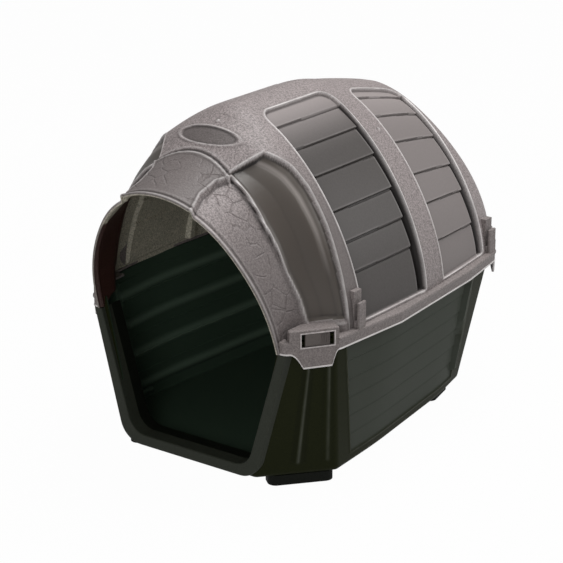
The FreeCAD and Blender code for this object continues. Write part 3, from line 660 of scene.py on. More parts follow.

# %% Roof masks
# edge_light is above zero on raised edges, for a painted highlight, and below zero in hollows, for
# painted shade.
edge_light = np.clip((spread(relief, EDGE_REACH) - relief) / EDGE_RISE, -1.0, 1.0)
seam_softness = np.where(edge_light > 0, *SEAM_SOFTNESS) * bay_mask * (1.0 - slot_mask)
edge_light = edge_light * (1.0 - seam_softness)
# Painted shade: darker low on the flank towards the front, less on the hood, and on the keystone.
painted_front_shade = smooth_ramp(foot_angle, *SHADE_ANGLES) * smooth_ramp(net_y, *SHADE_DEPTHS)
painted_front_shade = painted_front_shade * np.where(net_y > rib_front_y - SHADE_EDGE, 1.0, HOOD_SHADE)
on_keystone = ramp(-beside, 0.0, SHADE_EDGE) * ramp(crease_y - net_y, 0.0, SHADE_EDGE)
painted_front_shade = np.maximum(painted_front_shade, KEYSTONE_SHADE * on_keystone)
crackle_area = ramp(hood_rear_y - net_y, *CRACKLE_REAR) * ramp(from_mouth, *CRACKLE_MOUTH)
smooth_area = np.clip(channel_mask + bay_mask * PLANK_SMOOTH, 0.0, 1.0)
# Painted highlight: a soft bright band in the channel, near the rib.
channel_painted_sheen = bump(channel_share, *SHEEN_BAND) * channel_mask * ramp(foot_angle, *SHEEN_ANGLES)
# Painted shade inside the hood, on its left half only.
hood_inside_painted_shade = ramp(foot_angle, *HOOD_INSIDE_ANGLES) * ramp(net_y, *HOOD_INSIDE_DEPTHS)
outer_values = {
    "edge_light": edge_light, "crackle_area": crackle_area, "smooth_area": smooth_area,
    "channel_area": channel_mask, "channel_painted_sheen": channel_painted_sheen, "slot_painted_shade": slot_mask,
    "plank_painted_shade": plank_painted_shade * bay_mask, "painted_front_shade": painted_front_shade, "oval_floor": oval_floor,
}
roof_masks = {mask: fitted(values) for mask, values in outer_values.items()}
roof_inner_masks = {"hood_inside_painted_shade": fitted(hood_inside_painted_shade * (net_x < 0))}
print(len(roof_masks), "masks outside and", len(roof_inner_masks), "inside")


# %% Roof shell
def shell_mesh(name, outer, inner, outer_masks, inner_masks):
    """Closed shell between two skins of the same size, each with its own masks."""
    rows, columns = outer.shape[:2]
    count = rows * columns
    points = np.concatenate([outer.reshape(-1, 3), inner.reshape(-1, 3)])
    faces = grid_quads(rows, columns) + flipped(grid_quads(rows, columns, count))
    for j in range(columns - 1):
        faces.append((j + 1, j, count + j, count + j + 1))
    for i in range(rows - 1):
        a, b = i * columns, (i + 1) * columns
        faces.append((a, b, count + b, count + a))
        a, b = a + columns - 1, b + columns - 1
        faces.append((b, a, count + a, count + b))
    faces += flipped(cap_faces(count - columns, columns))
    faces += cap_faces(2 * count - columns, columns)
    faces.append((count - columns, count - 1, 2 * count - 1, 2 * count - columns))
    nothing = np.zeros(count)
    both = {"inner_side": np.concatenate([nothing, nothing + 1.0])}
    for mask in {**outer_masks, **inner_masks}:
        values = [np.ravel(side.get(mask, nothing)) for side in (outer_masks, inner_masks)]
        both[mask] = np.concatenate(values)
    return facing_out(add_mesh(name, points, faces, both))


def facing_out(piece):
    """Turn all faces of a closed mesh outwards."""
    tool = bmesh.new()
    tool.from_mesh(piece.data)
    bmesh.ops.recalc_face_normals(tool, faces=tool.faces)
    loose = sum(1 for edge in tool.edges if len(edge.link_faces) != 2)
    tool.to_mesh(piece.data)
    tool.free()
    print(piece.name, "has", len(piece.data.polygons), "faces and", loose, "open edges")
    return piece


roof_form = shell_mesh("roof_form", outer_skin, inner_skin, roof_masks, roof_inner_masks)

# %% [markdown]
# ## Sweeping a section round the rim
#
# The rim is one section carried round the plan: a shelf, a rounded bead, an upright
# band and a lip, pale as a painted highlight, that dips under each corner's shield. A
# curve with a bevel object would do for a section that never changes. This one changes
# at the corners, so the sweep is worked out point by point from a rounded path.

# %% Rounded paths
RIM_RADIUS = 26.0
ARC_POINTS = 10
SHALLOW_TURN = math.radians(84)
ROOM_SHARE = 0.45


def stretch_counts(corners, spacing):
    """Number of points on each straight stretch of an outline."""
    lengths = np.linalg.norm(np.diff(np.array(corners, float), axis=0), axis=1)
    return [max(int(length / spacing), 2) for length in lengths]


def rounded_path(corners, radius, counts, soft_reach=None):
    """Points on an open outline with arcs for corners, wide ones where it hardly turns."""
    corners = np.array(corners, float)
    pieces = []
    start = corners[0]
    for before, here, after, count in zip(corners[:-2], corners[1:-1], corners[2:], counts):
        into, out = unit(before - here), unit(after - here)
        half_turn = math.acos(np.clip(into @ out, -1.0, 1.0)) / 2
        room = ROOM_SHARE * min(np.linalg.norm(before - here), np.linalg.norm(after - here))
        reach = min(radius / math.tan(half_turn), room)
        if soft_reach and half_turn > SHALLOW_TURN:
            reach = soft_reach
        centre = here + unit(into + out) * reach / math.cos(half_turn)
        first, last = here + into * reach, here + out * reach
        pieces.append(np.linspace(start, first, count, endpoint=False))
        pieces.append(arc_between(centre, first, last))
        start = last
    pieces.append(np.linspace(start, corners[-1], counts[-1]))
    return np.concatenate(pieces)


def arc_between(centre, first, last):
    """Points on an arc, without its last one."""
    a, b = first - centre, last - centre
    turn = math.acos(np.clip(unit(a) @ unit(b), -1.0, 1.0))
    t = np.linspace(0.0, 1.0, ARC_POINTS, endpoint=False)[:, None]
    return centre + (np.sin((1 - t) * turn) * a + np.sin(t * turn) * b) / math.sin(turn)


def path_outward(path):
    """Outward directions of a plan path that runs anticlockwise round the kennel."""
    along = unit(np.gradient(path, axis=0))
    return np.stack([along[:, 1], -along[:, 0]], axis=1)


print("corners are arcs of", ARC_POINTS, "steps")

# %% Rim path
RIM_SPACING = 4.0
RIM_END_X = 209.0


def both_halves(half_outline):
    """A right-hand outline and its mirror image, as one open outline."""
    return list(half_outline) + [(-x, y) for x, y in reversed(half_outline)]


rim_corners = both_halves([(RIM_END_X, 0)] + RIM_PLAN)
rim_path = rounded_path(rim_corners, RIM_RADIUS, stretch_counts(rim_corners, RIM_SPACING))
rim_outward = path_outward(rim_path)
print("rim path of", len(rim_path), "points")

# %% Corner places
WINDOW_SHIFT = 10.0
BOX_END_REACH = 54.0
BOX_SIDE_REACH = 40.0
SHIELD_FOOT_HALF = 27.5
SHIELD_DROP = 29.0
SHIELD_CURVE = 1.9
CORNER_NEAR = 8.0
CORNER_REACH = 75.0
FAR_AWAY = 999.0


def corner_frame(front, side):
    """Middle of a corner's window, the way to the kennel's side, and outwards."""
    start, end = np.array(RIM_PLAN[:2] if front else RIM_PLAN[:3:-1], float)
    middle = (start + end) / 2 + unit(end - start) * WINDOW_SHIFT
    along = unit(end - start)
    outward = np.array([along[1], -along[0]]) if front else np.array([-along[1], along[0]])
    mirror = np.array([side, 1.0])
    return middle * mirror, along * mirror, outward * mirror


CORNERS = [
    (f"{end}_{side_name}", corner_frame(end == "front", side))
    for end in ("front", "rear")
    for side, side_name in LEFT_AND_RIGHT
]


def shield_drop(along):
    """How far the rim's lower edge hangs down at a place along a corner."""
    before = ramp(along, -BOX_END_REACH, -SHIELD_FOOT_HALF) ** SHIELD_CURVE
    after = ramp(-along, -BOX_SIDE_REACH, -SHIELD_FOOT_HALF) ** SHIELD_CURVE
    return SHIELD_DROP * np.minimum(before, after)


def along_corner(path, corner):
    """Place of each path point along a corner, far away for the others."""
    middle, along, outward = corner
    near = np.abs((path - middle) @ outward) < CORNER_NEAR
    near &= np.abs((path - middle) @ along) < CORNER_REACH
    return np.where(near, (path - middle) @ along, FAR_AWAY)


def taken_by_corners(middle, half_width):
    """How many corners take each rim point into the stretch about their middle."""
    return sum(
        (np.abs(along_corner(rim_path, corner) - middle) < half_width).astype(int)
        for _, corner in CORNERS
    )


rim_drop = sum(shield_drop(along_corner(rim_path, corner)) for _, corner in CORNERS)
in_box = taken_by_corners(
    (BOX_SIDE_REACH - BOX_END_REACH) / 2, (BOX_SIDE_REACH + BOX_END_REACH) / 2
)
print("corner boxes take", int(in_box.sum()), "of the rim's points")

# %% Swept sections
def sweep(name, path, outward, sections, masks=None):
    """Closed tube of sections, given as (outwards, height) points along a path."""
    rows, columns = sections.shape[:2]
    plan = path[:, None] + outward[:, None] * sections[..., :1]
    points = np.concatenate([plan, sections[..., 1:]], axis=2).reshape(-1, 3)
    faces = flipped(grid_quads(rows, columns, wrap=True))
    faces.append(tuple(range(columns)))
    faces.append(tuple(reversed(range((rows - 1) * columns, rows * columns))))
    return facing_out(add_mesh(name, points, faces, masks))


def stretches(flags):
    """Runs of true flags, as (first, last + 1) pairs."""
    edges = np.flatnonzero(np.diff(np.concatenate([[0], flags.astype(int), [0]])))
    return list(zip(edges[::2], edges[1::2]))


print("sweep ready")

# %% Rim bands
SHELF_IN = 16.0
CORNER_SHELF_IN = 38.0
CORNER_SHELF_Y = (10, 118)
BAND_SECTION = [
    (0.0, -0.6), (1.2, -1.0), (2.2, -2.4), (2.5, -4.6), (2.2, -6.8),
    (1.1, -8.6), (0.2, -10.0), (0.0, -12.0), (0.0, -24.4), (-3.6, -24.4), (-4.0, -4.0),
]


def band_sections(path):
    """Section of the rim's band at each point of a path."""
    y = path[:, 1]
    at_corner = (y > CORNER_SHELF_Y[0]) * (y < CORNER_SHELF_Y[1])
    reach = SHELF_IN + (CORNER_SHELF_IN - SHELF_IN) * at_corner
    sections = []
    for inward in reach:
        inner = [(-inward, -4.0), (-inward, 0.4), (-inward + 6, 0.4), (-3.0, 0.0)]
        sections.append([(o, RIM_TOP_Z + z) for o, z in inner + BAND_SECTION])
    return np.array(sections)


rim_bands = []
for number, (first, last) in enumerate(stretches(in_box == 0)):
    first, last = max(first - 1, 0), min(last + 1, len(rim_path))
    run, run_outward = rim_path[first:last], rim_outward[first:last]
    rim_bands.append(sweep(f"rim_band_{number}", run, run_outward, band_sections(run)))
print(len(rim_bands), "stretches of rim")

# %% Rim lip
LIP_RADIUS = 1.9
LIP_SIDES = 10
LIP_OUT = -0.6

turns = np.linspace(0, 2 * math.pi, LIP_SIDES, endpoint=False)
lip_across = LIP_OUT + LIP_RADIUS * np.cos(turns)
lip_up = LIP_RADIUS * np.sin(turns)
lip_sections = np.stack([
    np.stack([lip_across, RIM_LIP_Z + LIP_RADIUS - drop + lip_up], 1) for drop in rim_drop
])
# The whole lip counts as a raised edge, so it carries the painted highlight.
lip_masks = {"edge_light": np.full(lip_sections.shape[:2], 1.0)}
rim_lip = sweep("rim_lip", rim_path, rim_outward, lip_sections, lip_masks)
print("lip along", len(rim_path), "points")

# %% [markdown]
# ## Corner shields and ledges
#
# Each corner carries a flat shield with a window for its latch. A boolean would cut
# the window cleanly, but leaves long thin faces that shade badly. The shield is
# instead a small sheet of cells with the window's cells left out, thickened, and
# then given rounded edges. The ledge above it and its two walls are upright prisms.

# %% Corner sheets
WINDOW_HALF = 31.0
WINDOW_Z = (293.5, 318.5)
WINDOW_BORDER = 2.4


def corner_point(corner, along, outward, height):
    """Drawing point at a place on a corner."""
    middle, along_way, outward_way = corner
    plan = middle + along_way * along + outward_way * outward
    return (plan[0], plan[1], height)


def sheet_with_window(name, corner, alongs, heights, outward, thickness):
    """Plate on a corner made of cells, without those that lie in the window."""
    rows, columns = len(alongs), len(heights[0])
    points = [
        corner_point(corner, along, outward, z)
        for along, column in zip(alongs, heights)
        for z in column
    ]
    faces = []
    for i in range(rows - 1):
        for j in range(columns - 1):
            middle_along = (alongs[i] + alongs[i + 1]) / 2
            if not (abs(middle_along) < WINDOW_HALF and j == 1):
                a = i * columns + j
                faces.append((a, a + columns, a + columns + 1, a + 1))
    piece = add_mesh(name, points, faces)
    solid = piece.modifiers.new("wall", "SOLIDIFY")
    solid.thickness = thickness * MM
    solid.offset = 1.0 if corner_turns_in(corner) else -1.0
    return piece


def corner_turns_in(corner):
    """True where a sheet's faces point into the cabin."""
    middle, along, outward = corner
    return along[0] * outward[1] - along[1] * outward[0] > 0


def box_solid(name, corner, along, outward, heights):
    """Closed box on a corner."""
    points = [
        corner_point(corner, a, o, z) for z in heights for o in outward for a in along
    ]
    return add_mesh(name, points, BOX_FACES)


print("windows", 2 * WINDOW_HALF, "mm wide")

# %% Corner shields
SHIELD_OUT = 0.4
SHIELD_LOW_Z = RIM_LIP_Z + 0.8
SHIELD_TOP_Z = CORNER_LEDGE_Z - 3.0
SHIELD_BEVEL = 0.8
BORDER_OUT = 1.2
BORDER_THICKNESS = 2.6
BORDER_BEVEL = 0.5

shield_alongs = sorted(
    list(np.linspace(-BOX_END_REACH, -SHIELD_FOOT_HALF, 12))
    + list(np.linspace(SHIELD_FOOT_HALF, BOX_SIDE_REACH, 8))
    + [-WINDOW_HALF, WINDOW_HALF, 0.0]
)
border_reach = WINDOW_HALF + WINDOW_BORDER
border_alongs = (-border_reach, -WINDOW_HALF, WINDOW_HALF, border_reach)
border_heights = (WINDOW_Z[0] - WINDOW_BORDER, *WINDOW_Z, WINDOW_Z[1] + WINDOW_BORDER)
lows = SHIELD_LOW_Z - shield_drop(np.array(shield_alongs))
shield_heights = [(low, *WINDOW_Z, SHIELD_TOP_Z) for low in lows]
corner_pieces = []
window_borders = []
for place, corner in CORNERS:
    shield = sheet_with_window(
        f"corner_shield_{place}", corner, shield_alongs, shield_heights, SHIELD_OUT, ROOF_WALL
    )
    corner_pieces.append(add_bevel(shield, SHIELD_BEVEL))
    # The window's border is in the pale lip plastic: a painted highlight round the window.
    border = sheet_with_window(
        f"window_border_{place}", corner, border_alongs, [border_heights] * 4,
        BORDER_OUT, BORDER_THICKNESS,
    )
    window_borders.append(add_bevel(border, BORDER_BEVEL))
print(len(corner_pieces), "shields and", len(window_borders), "window borders")

# %% Corner ledges
LEDGE_TOP = 1.0
FRONT_LEDGE = ((-54, 0), (40, 0), (40, 23), (12, 35), (-20, 35), (-54, 11))
REAR_LEDGE = ((-54, 0), (40, 0), (40, 13), (-20, 17), (-54, 20))
LEDGE_THICKNESS = 4.5
LEDGE_BEVEL = (2.0, 4)
LEDGE_WALL = 3.0
LEDGE_WALL_Z = (RIM_TOP_Z - 4.0, CORNER_LEDGE_Z - 2.0)
LEDGE_WALL_OUT = 0.5
LEDGE_WALL_BEVEL = 0.6


def prism(name, corner, outline, heights):
    """Upright prism on a corner, from (along, inward) points."""
    count = len(outline)
    points = [corner_point(corner, a, -i, z) for z in heights for a, i in outline]
    faces = [tuple(range(count)), tuple(reversed(range(count, 2 * count)))]
    for k in range(count):
        after = (k + 1) % count
        faces.append((k, after, count + after, count + k))
    return facing_out(add_mesh(name, points, faces))


for place, corner in CORNERS:
    outline = FRONT_LEDGE if place.startswith("front") else REAR_LEDGE
    proud = [(a, i if i else -LEDGE_TOP) for a, i in outline]
    ledge_z = (CORNER_LEDGE_Z - LEDGE_THICKNESS, CORNER_LEDGE_Z)
    ledge = prism(f"corner_ledge_{place}", corner, proud, ledge_z)
    corner_pieces.append(add_bevel(ledge, *LEDGE_BEVEL))
    ends = ((outline[0][0], outline[-1][1], 1.0), (outline[1][0], outline[2][1], -1.0))
    for end_along, depth, turn in ends:
        inner_along = end_along + turn * LEDGE_WALL
        section = [
            (end_along, LEDGE_WALL_OUT), (inner_along, LEDGE_WALL_OUT),
            (inner_along, depth), (end_along, depth),
        ]
        side_name = "end" if turn > 0 else "side"
        wall = prism(f"corner_wall_{side_name}_{place}", corner, section, LEDGE_WALL_Z)
        corner_pieces.append(add_bevel(wall, LEDGE_WALL_BEVEL))
print(len(corner_pieces), "corner pieces")

# %% [markdown]
# ## The upright lugs
#
# Near each end of the flanks a lug stands on the rim: a thin post outside, a gap, and
# a taller block that leans into the dome. A scaled cube would do for the post, but the
# block's back has to meet the dome's slope. So its corners are worked out from the
# same arches as the roof, and its back always ends inside the roof's wall.

# %% Lug sizes
LUG_PLACES = ((146.0, "front"), (655.0, "rear"))
LUG_LENGTH = 24.0
LUG_POST = (6.0, 52.0)
LUG_BLOCK_HEIGHT = 72.0
LUG_SLOT = 5.0
LUG_WEB_HEIGHT = 16.0
LUG_OUT = 0.5
LUG_FOOT_Z = RIM_TOP_Z - 3.0
LUG_BLOCK_FOOT_Z = RIM_TOP_Z + 1.5
LUG_POST_BEVEL = 2.4
LUG_BLOCK_BEVEL = 2.2
LUG_WEB_BEVEL = 1.0

def upright(name, xs, ys, zs, width):
    """Upright block with rounded edges, from its ranges in the drawing."""
    points = [(x, y, z) for z in zs for y in ys for x in xs]
    return add_bevel(add_mesh(name, points, BOX_FACES), width)


def dome_half(y, z):
    """Half width of the dome's outside at a place between two upright arches."""
    position = float(np.interp(y, ARCHES[:, 1], np.arange(len(ARCHES))))
    half, _, foot_z, _, crown_z, roundness = arches_at([position])[0]
    rise = max((z - foot_z) / (crown_z - foot_z), 0.0)
    return half * (1.0 - rise**roundness) ** (1.0 / roundness)


def lug_block(name, side, outside, ys, zs):
    """Inner block of a lug: upright outside, its back sunk into the dome's wall."""
    points = []
    for z in zs:
        inside = dome_half(ys[0], z) - ROOF_WALL / 2
        for y in ys:
            points += [(side * x, y, z) for x in sorted((inside, outside))]
    return add_bevel(facing_out(add_mesh(name, points, BOX_FACES)), LUG_BLOCK_BEVEL)


print("dome is", round(float(dome_half(LUG_PLACES[0][0], RIM_TOP_Z))), "mm wide beside a lug")

# %% Lugs
lugs = []
for y, end in LUG_PLACES:
    outside = float(rim_half(y)) + LUG_OUT
    post_inside = outside - LUG_POST[0]
    block_outside = post_inside - LUG_SLOT
    ys = (y - LUG_LENGTH / 2, y + LUG_LENGTH / 2)
    post_z = (LUG_FOOT_Z, LUG_FOOT_Z + LUG_POST[1])
    block_z = (LUG_BLOCK_FOOT_Z, LUG_FOOT_Z + LUG_BLOCK_HEIGHT)
    web_z = (LUG_FOOT_Z, LUG_FOOT_Z + LUG_WEB_HEIGHT)
    for side, side_name in LEFT_AND_RIGHT:
        tag = f"{end}_{side_name}"
        post_x = sorted((side * post_inside, side * outside))
        web_x = sorted((side * block_outside, side * post_inside))
        lugs.append(upright(f"lug_post_{tag}", post_x, ys, post_z, LUG_POST_BEVEL))
        lugs.append(lug_block(f"lug_block_{tag}", side, block_outside, ys, block_z))
        lugs.append(upright(f"lug_web_{tag}", web_x, ys, web_z, LUG_WEB_BEVEL))
print(len(lugs), "lug pieces")

# %% [markdown]
# ## The tub
#
# The tub is a tapered box with rounded corners, drawn from two outlines: one at the
# floor and one at its brim. A loft between them could be made with curves, but its
# side panels, lapped like boards, need relief. So the tub is a net as well, from the
# brim down, and the same shell maker closes it.

# %% Tub outlines
TUB_FLOOR_PLAN = [(150, 6), (254, 123), (250, 262), (226, 538), (207, 640), (160, 694)]
TUB_FRONT_RETURN = 14.0
TUB_BRIM_INSET = 11.0
TUB_FLOOR_Z = 20.0
TUB_BRIM_Z = 301.4
TUB_RADIUS = 16.0
TUB_SOFT_REACH = 45.0
TUB_WALL = 4.0
TUB_SPACING = 4.2
TUB_ROWS = 142
TUB_FOOT_RADIUS = 9.0
TUB_FOOT_ROWS = 5


def inset_outline(corners, inset):
    """Corners of a closed outline, moved inwards by the same distance on all sides."""
    corners = np.array(corners, float)
    outward = unit(np.roll(corners, -1, axis=0) - corners)[:, ::-1] * (1.0, -1.0)
    before = np.roll(outward, 1, axis=0)
    together = 1.0 + np.sum(before * outward, axis=1, keepdims=True)
    return corners - (before + outward) / together * inset


def with_return(half_outline):
    """A right-hand outline that starts a little way in from its front corner."""
    first_x, first_y = half_outline[0]
    return [(first_x - TUB_FRONT_RETURN, first_y)] + [tuple(p) for p in half_outline]


brim_half = inset_outline(both_halves(RIM_PLAN), TUB_BRIM_INSET)[: len(RIM_PLAN)]
brim_corners = both_halves(with_return(brim_half))
floor_corners = both_halves(with_return(TUB_FLOOR_PLAN))
tub_counts = stretch_counts(brim_corners, TUB_SPACING)
brim_path = rounded_path(brim_corners, TUB_RADIUS, tub_counts, TUB_SOFT_REACH)
floor_path = rounded_path(floor_corners, TUB_RADIUS, tub_counts, TUB_SOFT_REACH)
print("tub outline of", len(brim_path), "points")

# %% Tub net
def tub_share(z):
    """How far up the tub a height is, from 0 at the floor to 1 at the brim."""
    return (z - TUB_FLOOR_Z) / (TUB_BRIM_Z - TUB_FLOOR_Z)


def tub_skin(inward, heights):
    """Tub's net at heights, with each point moved inwards by its own distance."""
    share = tub_share(heights)[:, None, None]
    plan = floor_path + (brim_path - floor_path) * share
    directions = np.stack([path_outward(path) for path in plan])
    plan = plan - directions * inward[..., None]
    level = np.broadcast_to(heights[:, None, None], plan.shape[:2] + (1,))
    return np.concatenate([plan, level], axis=2)


straight_heights = np.linspace(TUB_BRIM_Z, TUB_FLOOR_Z + TUB_FOOT_RADIUS, TUB_ROWS)
foot_turns = np.linspace(0, math.pi / 2, TUB_FOOT_ROWS + 1)[1:]
foot_heights = TUB_FLOOR_Z + TUB_FOOT_RADIUS * (1 - np.sin(foot_turns))
tub_heights = np.concatenate([straight_heights, foot_heights])
foot_inset = np.concatenate([np.zeros(TUB_ROWS), TUB_FOOT_RADIUS * (1 - np.cos(foot_turns))])
tub_net = tub_skin(np.zeros((len(tub_heights), len(brim_path))), tub_heights)
print("tub net of", tub_net.shape[:2])

# %% Tub sizes
PANEL_DEPTH = 4.0
PANEL_LAP = 1.8
PANEL_CRACK = 0.5
PANEL_CRACK_WIDTH = 3.2
PANEL_COURSES = 6
PANEL_LOW_Z = 44.0
PANEL_START = ((44, 281), (166, 120))
PANEL_END = ((44, 281), (590, 574))
PANEL_EDGE = 3.0
PANEL_BEAD = (0.9, -2.0, 3.5)
RIB_SHARES = (0.50, 0.86)
RIB_SIZE = (3.0, 0.0, 4.2)
RIB_FOOT_Z = (42.0, 50.0)
RIB_TOP_Z = (250.0, 244.0)
FIN_HEIGHT = 7.0
FIN_HALF = 10.0
FIN_EDGE = 2.5
FIN_FOOT_Z = (62.0, 66.0)
FIN_TOP_Z = 280.0
COURSE_HEIGHT = (RIM_LIP_Z - PANEL_LOW_Z) / PANEL_COURSES
print("side panels lap every", COURSE_HEIGHT, "mm")

# %% Side panels
tub_x, tub_y, tub_z = (tub_net[..., axis] for axis in range(3))
panel_start = np.interp(tub_z, *PANEL_START)
panel_end = np.interp(tub_z, *PANEL_END)
in_panel = np.minimum(np.minimum(tub_y - panel_start, panel_end - tub_y), tub_z - PANEL_LOW_Z)
panel_mask = ramp(in_panel, 0.0, PANEL_EDGE)
course_share = ((tub_z - PANEL_LOW_Z) / COURSE_HEIGHT) % 1.0
above_lap = (1.0 - course_share) * COURSE_HEIGHT
panel_depth = PANEL_DEPTH - PANEL_LAP * (1.0 - course_share)
panel_depth = panel_depth + PANEL_CRACK * (above_lap < PANEL_CRACK_WIDTH)
panel_depth = panel_depth * panel_mask - bead(in_panel, PANEL_BEAD)
print("panels", round(float(panel_depth.max()), 1), "mm deep")

# %% Corner ribs, fin and the tub's relief
share = tub_share(tub_z)[..., None]
corner_start = (1 - share) * np.array(TUB_FLOOR_PLAN[0], float) + share * brim_half[0]
corner_end = (1 - share) * np.array(TUB_FLOOR_PLAN[1], float) + share * brim_half[1]
corner_way = corner_end - corner_start
corner_length = np.linalg.norm(corner_way, axis=-1)
from_start = np.stack([np.abs(tub_x), tub_y], axis=-1) - corner_start
corner_share = np.sum(from_start * corner_way, axis=-1) / corner_length**2
rib_room = ramp(tub_z, *RIB_FOOT_Z) * ramp(tub_z, *RIB_TOP_Z)
from_ribs = [(corner_share - place) * corner_length for place in RIB_SHARES]
rib_rise = sum(bead(distance, RIB_SIZE) for distance in from_ribs) * rib_room
fin_rise = FIN_HEIGHT * ramp(FIN_HALF - np.abs(tub_y - panel_end), 0.0, FIN_EDGE)
fin_rise = fin_rise * ramp(tub_z, *FIN_FOOT_Z) * (tub_z < FIN_TOP_Z)
tub_relief = np.where(fin_rise > 0, -fin_rise, panel_depth - rib_rise)
print("tub relief up to", round(float(tub_relief.max()), 1), "mm")

# %% Tub shell
INNER_RIDGE = 3.5
INNER_RIDGE_HALF = 13.0
INNER_RIDGES_Z = (58.0, 126.0, 190.0, 252.0)
POST_RIDGE = (0.8, -6.0, 8.0)
POST_RIDGE_Y = 200.0
TUB_EDGE_RISE = 2.0
PANEL_SOFTNESS = 0.6

inner_heights = np.maximum(tub_heights, TUB_FLOOR_Z + TUB_WALL)
# The inner ridges bulge into the tub and also carry a painted highlight.
inner_ridge_and_highlight = sum(bump(tub_z, z, INNER_RIDGE_HALF) for z in INNER_RIDGES_Z) * panel_mask
inner_ridge_and_highlight = inner_ridge_and_highlight + bead(in_panel, POST_RIDGE) * (tub_y < POST_RIDGE_Y)
inner_depth = np.maximum(tub_relief, 0.0) + TUB_WALL + INNER_RIDGE * inner_ridge_and_highlight
tub_outer = tub_skin(tub_relief + foot_inset[:, None], tub_heights)
tub_inner = tub_skin(inner_depth + foot_inset[:, None], inner_heights)
# Painted highlight on the tub's raised edges and painted shade in its hollows, softer on the
# panels.
tub_edge_light = (spread(tub_relief, EDGE_REACH) - tub_relief) / TUB_EDGE_RISE
tub_edge_light = np.clip(tub_edge_light, -1.0, 1.0) * (1.0 - PANEL_SOFTNESS * panel_mask)
# The panel mask places painted light on the side panels.
tub_masks = {"edge_light": tub_edge_light, "panel_painted_light": panel_mask}
tub_form = shell_mesh("tub_form", tub_outer, tub_inner, tub_masks, {"inner_ridge_and_highlight": inner_ridge_and_highlight})

# %% [markdown]
# ## The tub's brim and its keepers
#
# A flat flange runs round the brim, inside the roof's rim, and steps back at each
# window to make room for the latch. Beside each window stands a keeper, an upside-down
# L that the latch's tongue slides under. One could cut it from a block, but two plain
# boxes that overlap show the same shape and keep their edges clean.

# %% Tub brim
FLANGE_OUT = -5.2
FLANGE_OUT_AT_WINDOW = -8.4
FLANGE_IN = -17.0
FLANGE_LOW_Z = 297.4
WINDOW_ROOM = 34.0

beside_window = taken_by_corners(0.0, WINDOW_ROOM) > 0
flange_inside = [(FLANGE_IN, FLANGE_LOW_Z), (FLANGE_IN, TUB_BRIM_Z)]
flange_sections = np.array([
    [(out, TUB_BRIM_Z), (out, FLANGE_LOW_Z)] + flange_inside
    for out in np.where(beside_window, FLANGE_OUT_AT_WINDOW, FLANGE_OUT)
])
tub_flange = sweep("tub_flange", rim_path, rim_outward, flange_sections)

# %% Keepers
KEEPER_DEEP = (-16.2, -7.2)
KEEPER_PARTS = {
    "hook": ((23.9, 34.5), (307.5, 311.4)),
    "post": ((30.5, 34.5), (301.0, 308.5)),
}
KEEPER_BEVEL = 0.6

keepers = []
for place, corner in CORNERS:
    for part, (along, heights) in KEEPER_PARTS.items():
        block = box_solid(f"keeper_{part}_{place}", corner, along, KEEPER_DEEP, heights)
        keepers.append(add_bevel(block, KEEPER_BEVEL))
print(len(keepers), "keeper pieces")

# %% [markdown]
# ## The doorway's frame
#
# A flat band borders the doorway: wider under the sill, narrower up the legs. It
# stands on the tub's front like a picture frame. A bevelled curve could not change
# its width, so it is two rounded outlines joined by a section with softened edges. A
# near-black sleeve behind it is painted shade in the depth that the eye sees through the door.

# %% Doorway outlines
DOOR_OUTER = ((222.0, 280.0), (156.0, 21.0))
DOOR_INNER = ((205.0, 280.0), (136.0, 43.0))
DOOR_OUTER_RADIUS = 48.0
DOOR_INNER_RADIUS = 40.0
DOOR_DEPTH = 30.0
DOOR_EDGE = 1.6
DOOR_SPACING = 6.0
DOOR_POINTS = 150
SLEEVE = (3.0, 56.0)
SLEEVE_WALL = 3.0


def door_outline(half, radius):
    """U-shaped outline of the doorway, as evenly spaced (across, height) points."""
    corners = both_halves(half)
    leg, sill, _ = stretch_counts(corners, DOOR_SPACING)
    outline = rounded_path(corners, radius, [leg, sill, leg])
    return np.stack([even_places(outline, axis, DOOR_POINTS) for axis in outline.T], axis=1)


def u_band(name, outer, inner, section):
    """Band between two U-shaped outlines; section gives (share outwards, y) points."""
    points = []
    for o, i in zip(outer, inner):
        for share_out, shift, y in section:
            x, z = i + (o - i) * share_out + unit(o - i) * shift
            points.append((x, y, z))
    rows, columns = len(outer), len(section)
    faces = grid_quads(rows, columns, wrap=True)
    faces += [tuple(range(columns)), tuple(range((rows - 1) * columns, rows * columns))]
    return facing_out(add_mesh(name, points, faces))


door_outer = door_outline(DOOR_OUTER, DOOR_OUTER_RADIUS)
door_inner = door_outline(DOOR_INNER, DOOR_INNER_RADIUS)
print("doorway outlines of", len(door_outer), "and", len(door_inner), "points")

# %% Doorway frame and sleeve
frame_section = [
    (1.0, -DOOR_EDGE, 0.0), (0.0, DOOR_EDGE, 0.0), (0.0, 0.0, DOOR_EDGE),
    (0.0, 0.0, DOOR_DEPTH), (1.0, 0.0, DOOR_DEPTH), (1.0, 0.0, DOOR_EDGE),
]
door_frame = u_band("door_frame", door_outer, door_inner, frame_section)
# The sleeve is a near-black sheet of painted shade inside the doorway.
sleeve_section = [
    (0.0, 0.4, SLEEVE[0]), (0.0, 0.4, SLEEVE[1]),
    (0.0, SLEEVE_WALL, SLEEVE[1]), (0.0, SLEEVE_WALL, SLEEVE[0]),
]
door_shade_sleeve = u_band("door_shade_sleeve", door_outer, door_inner, sleeve_section)

# %% [markdown]
# ## Shader groups
#
# Two effects turn up in every plastic: the fine grain that the mould is etched with,
# and a painted highlight on raised edges with painted shade in the hollows. A third, the
# leathery crackle, is on the hood alone. Copied nodes would drift apart, so each effect
# is a node group with named inputs, and every plastic sets its own strength. The groups
# give out only numbers and colours; each material keeps its own shader.

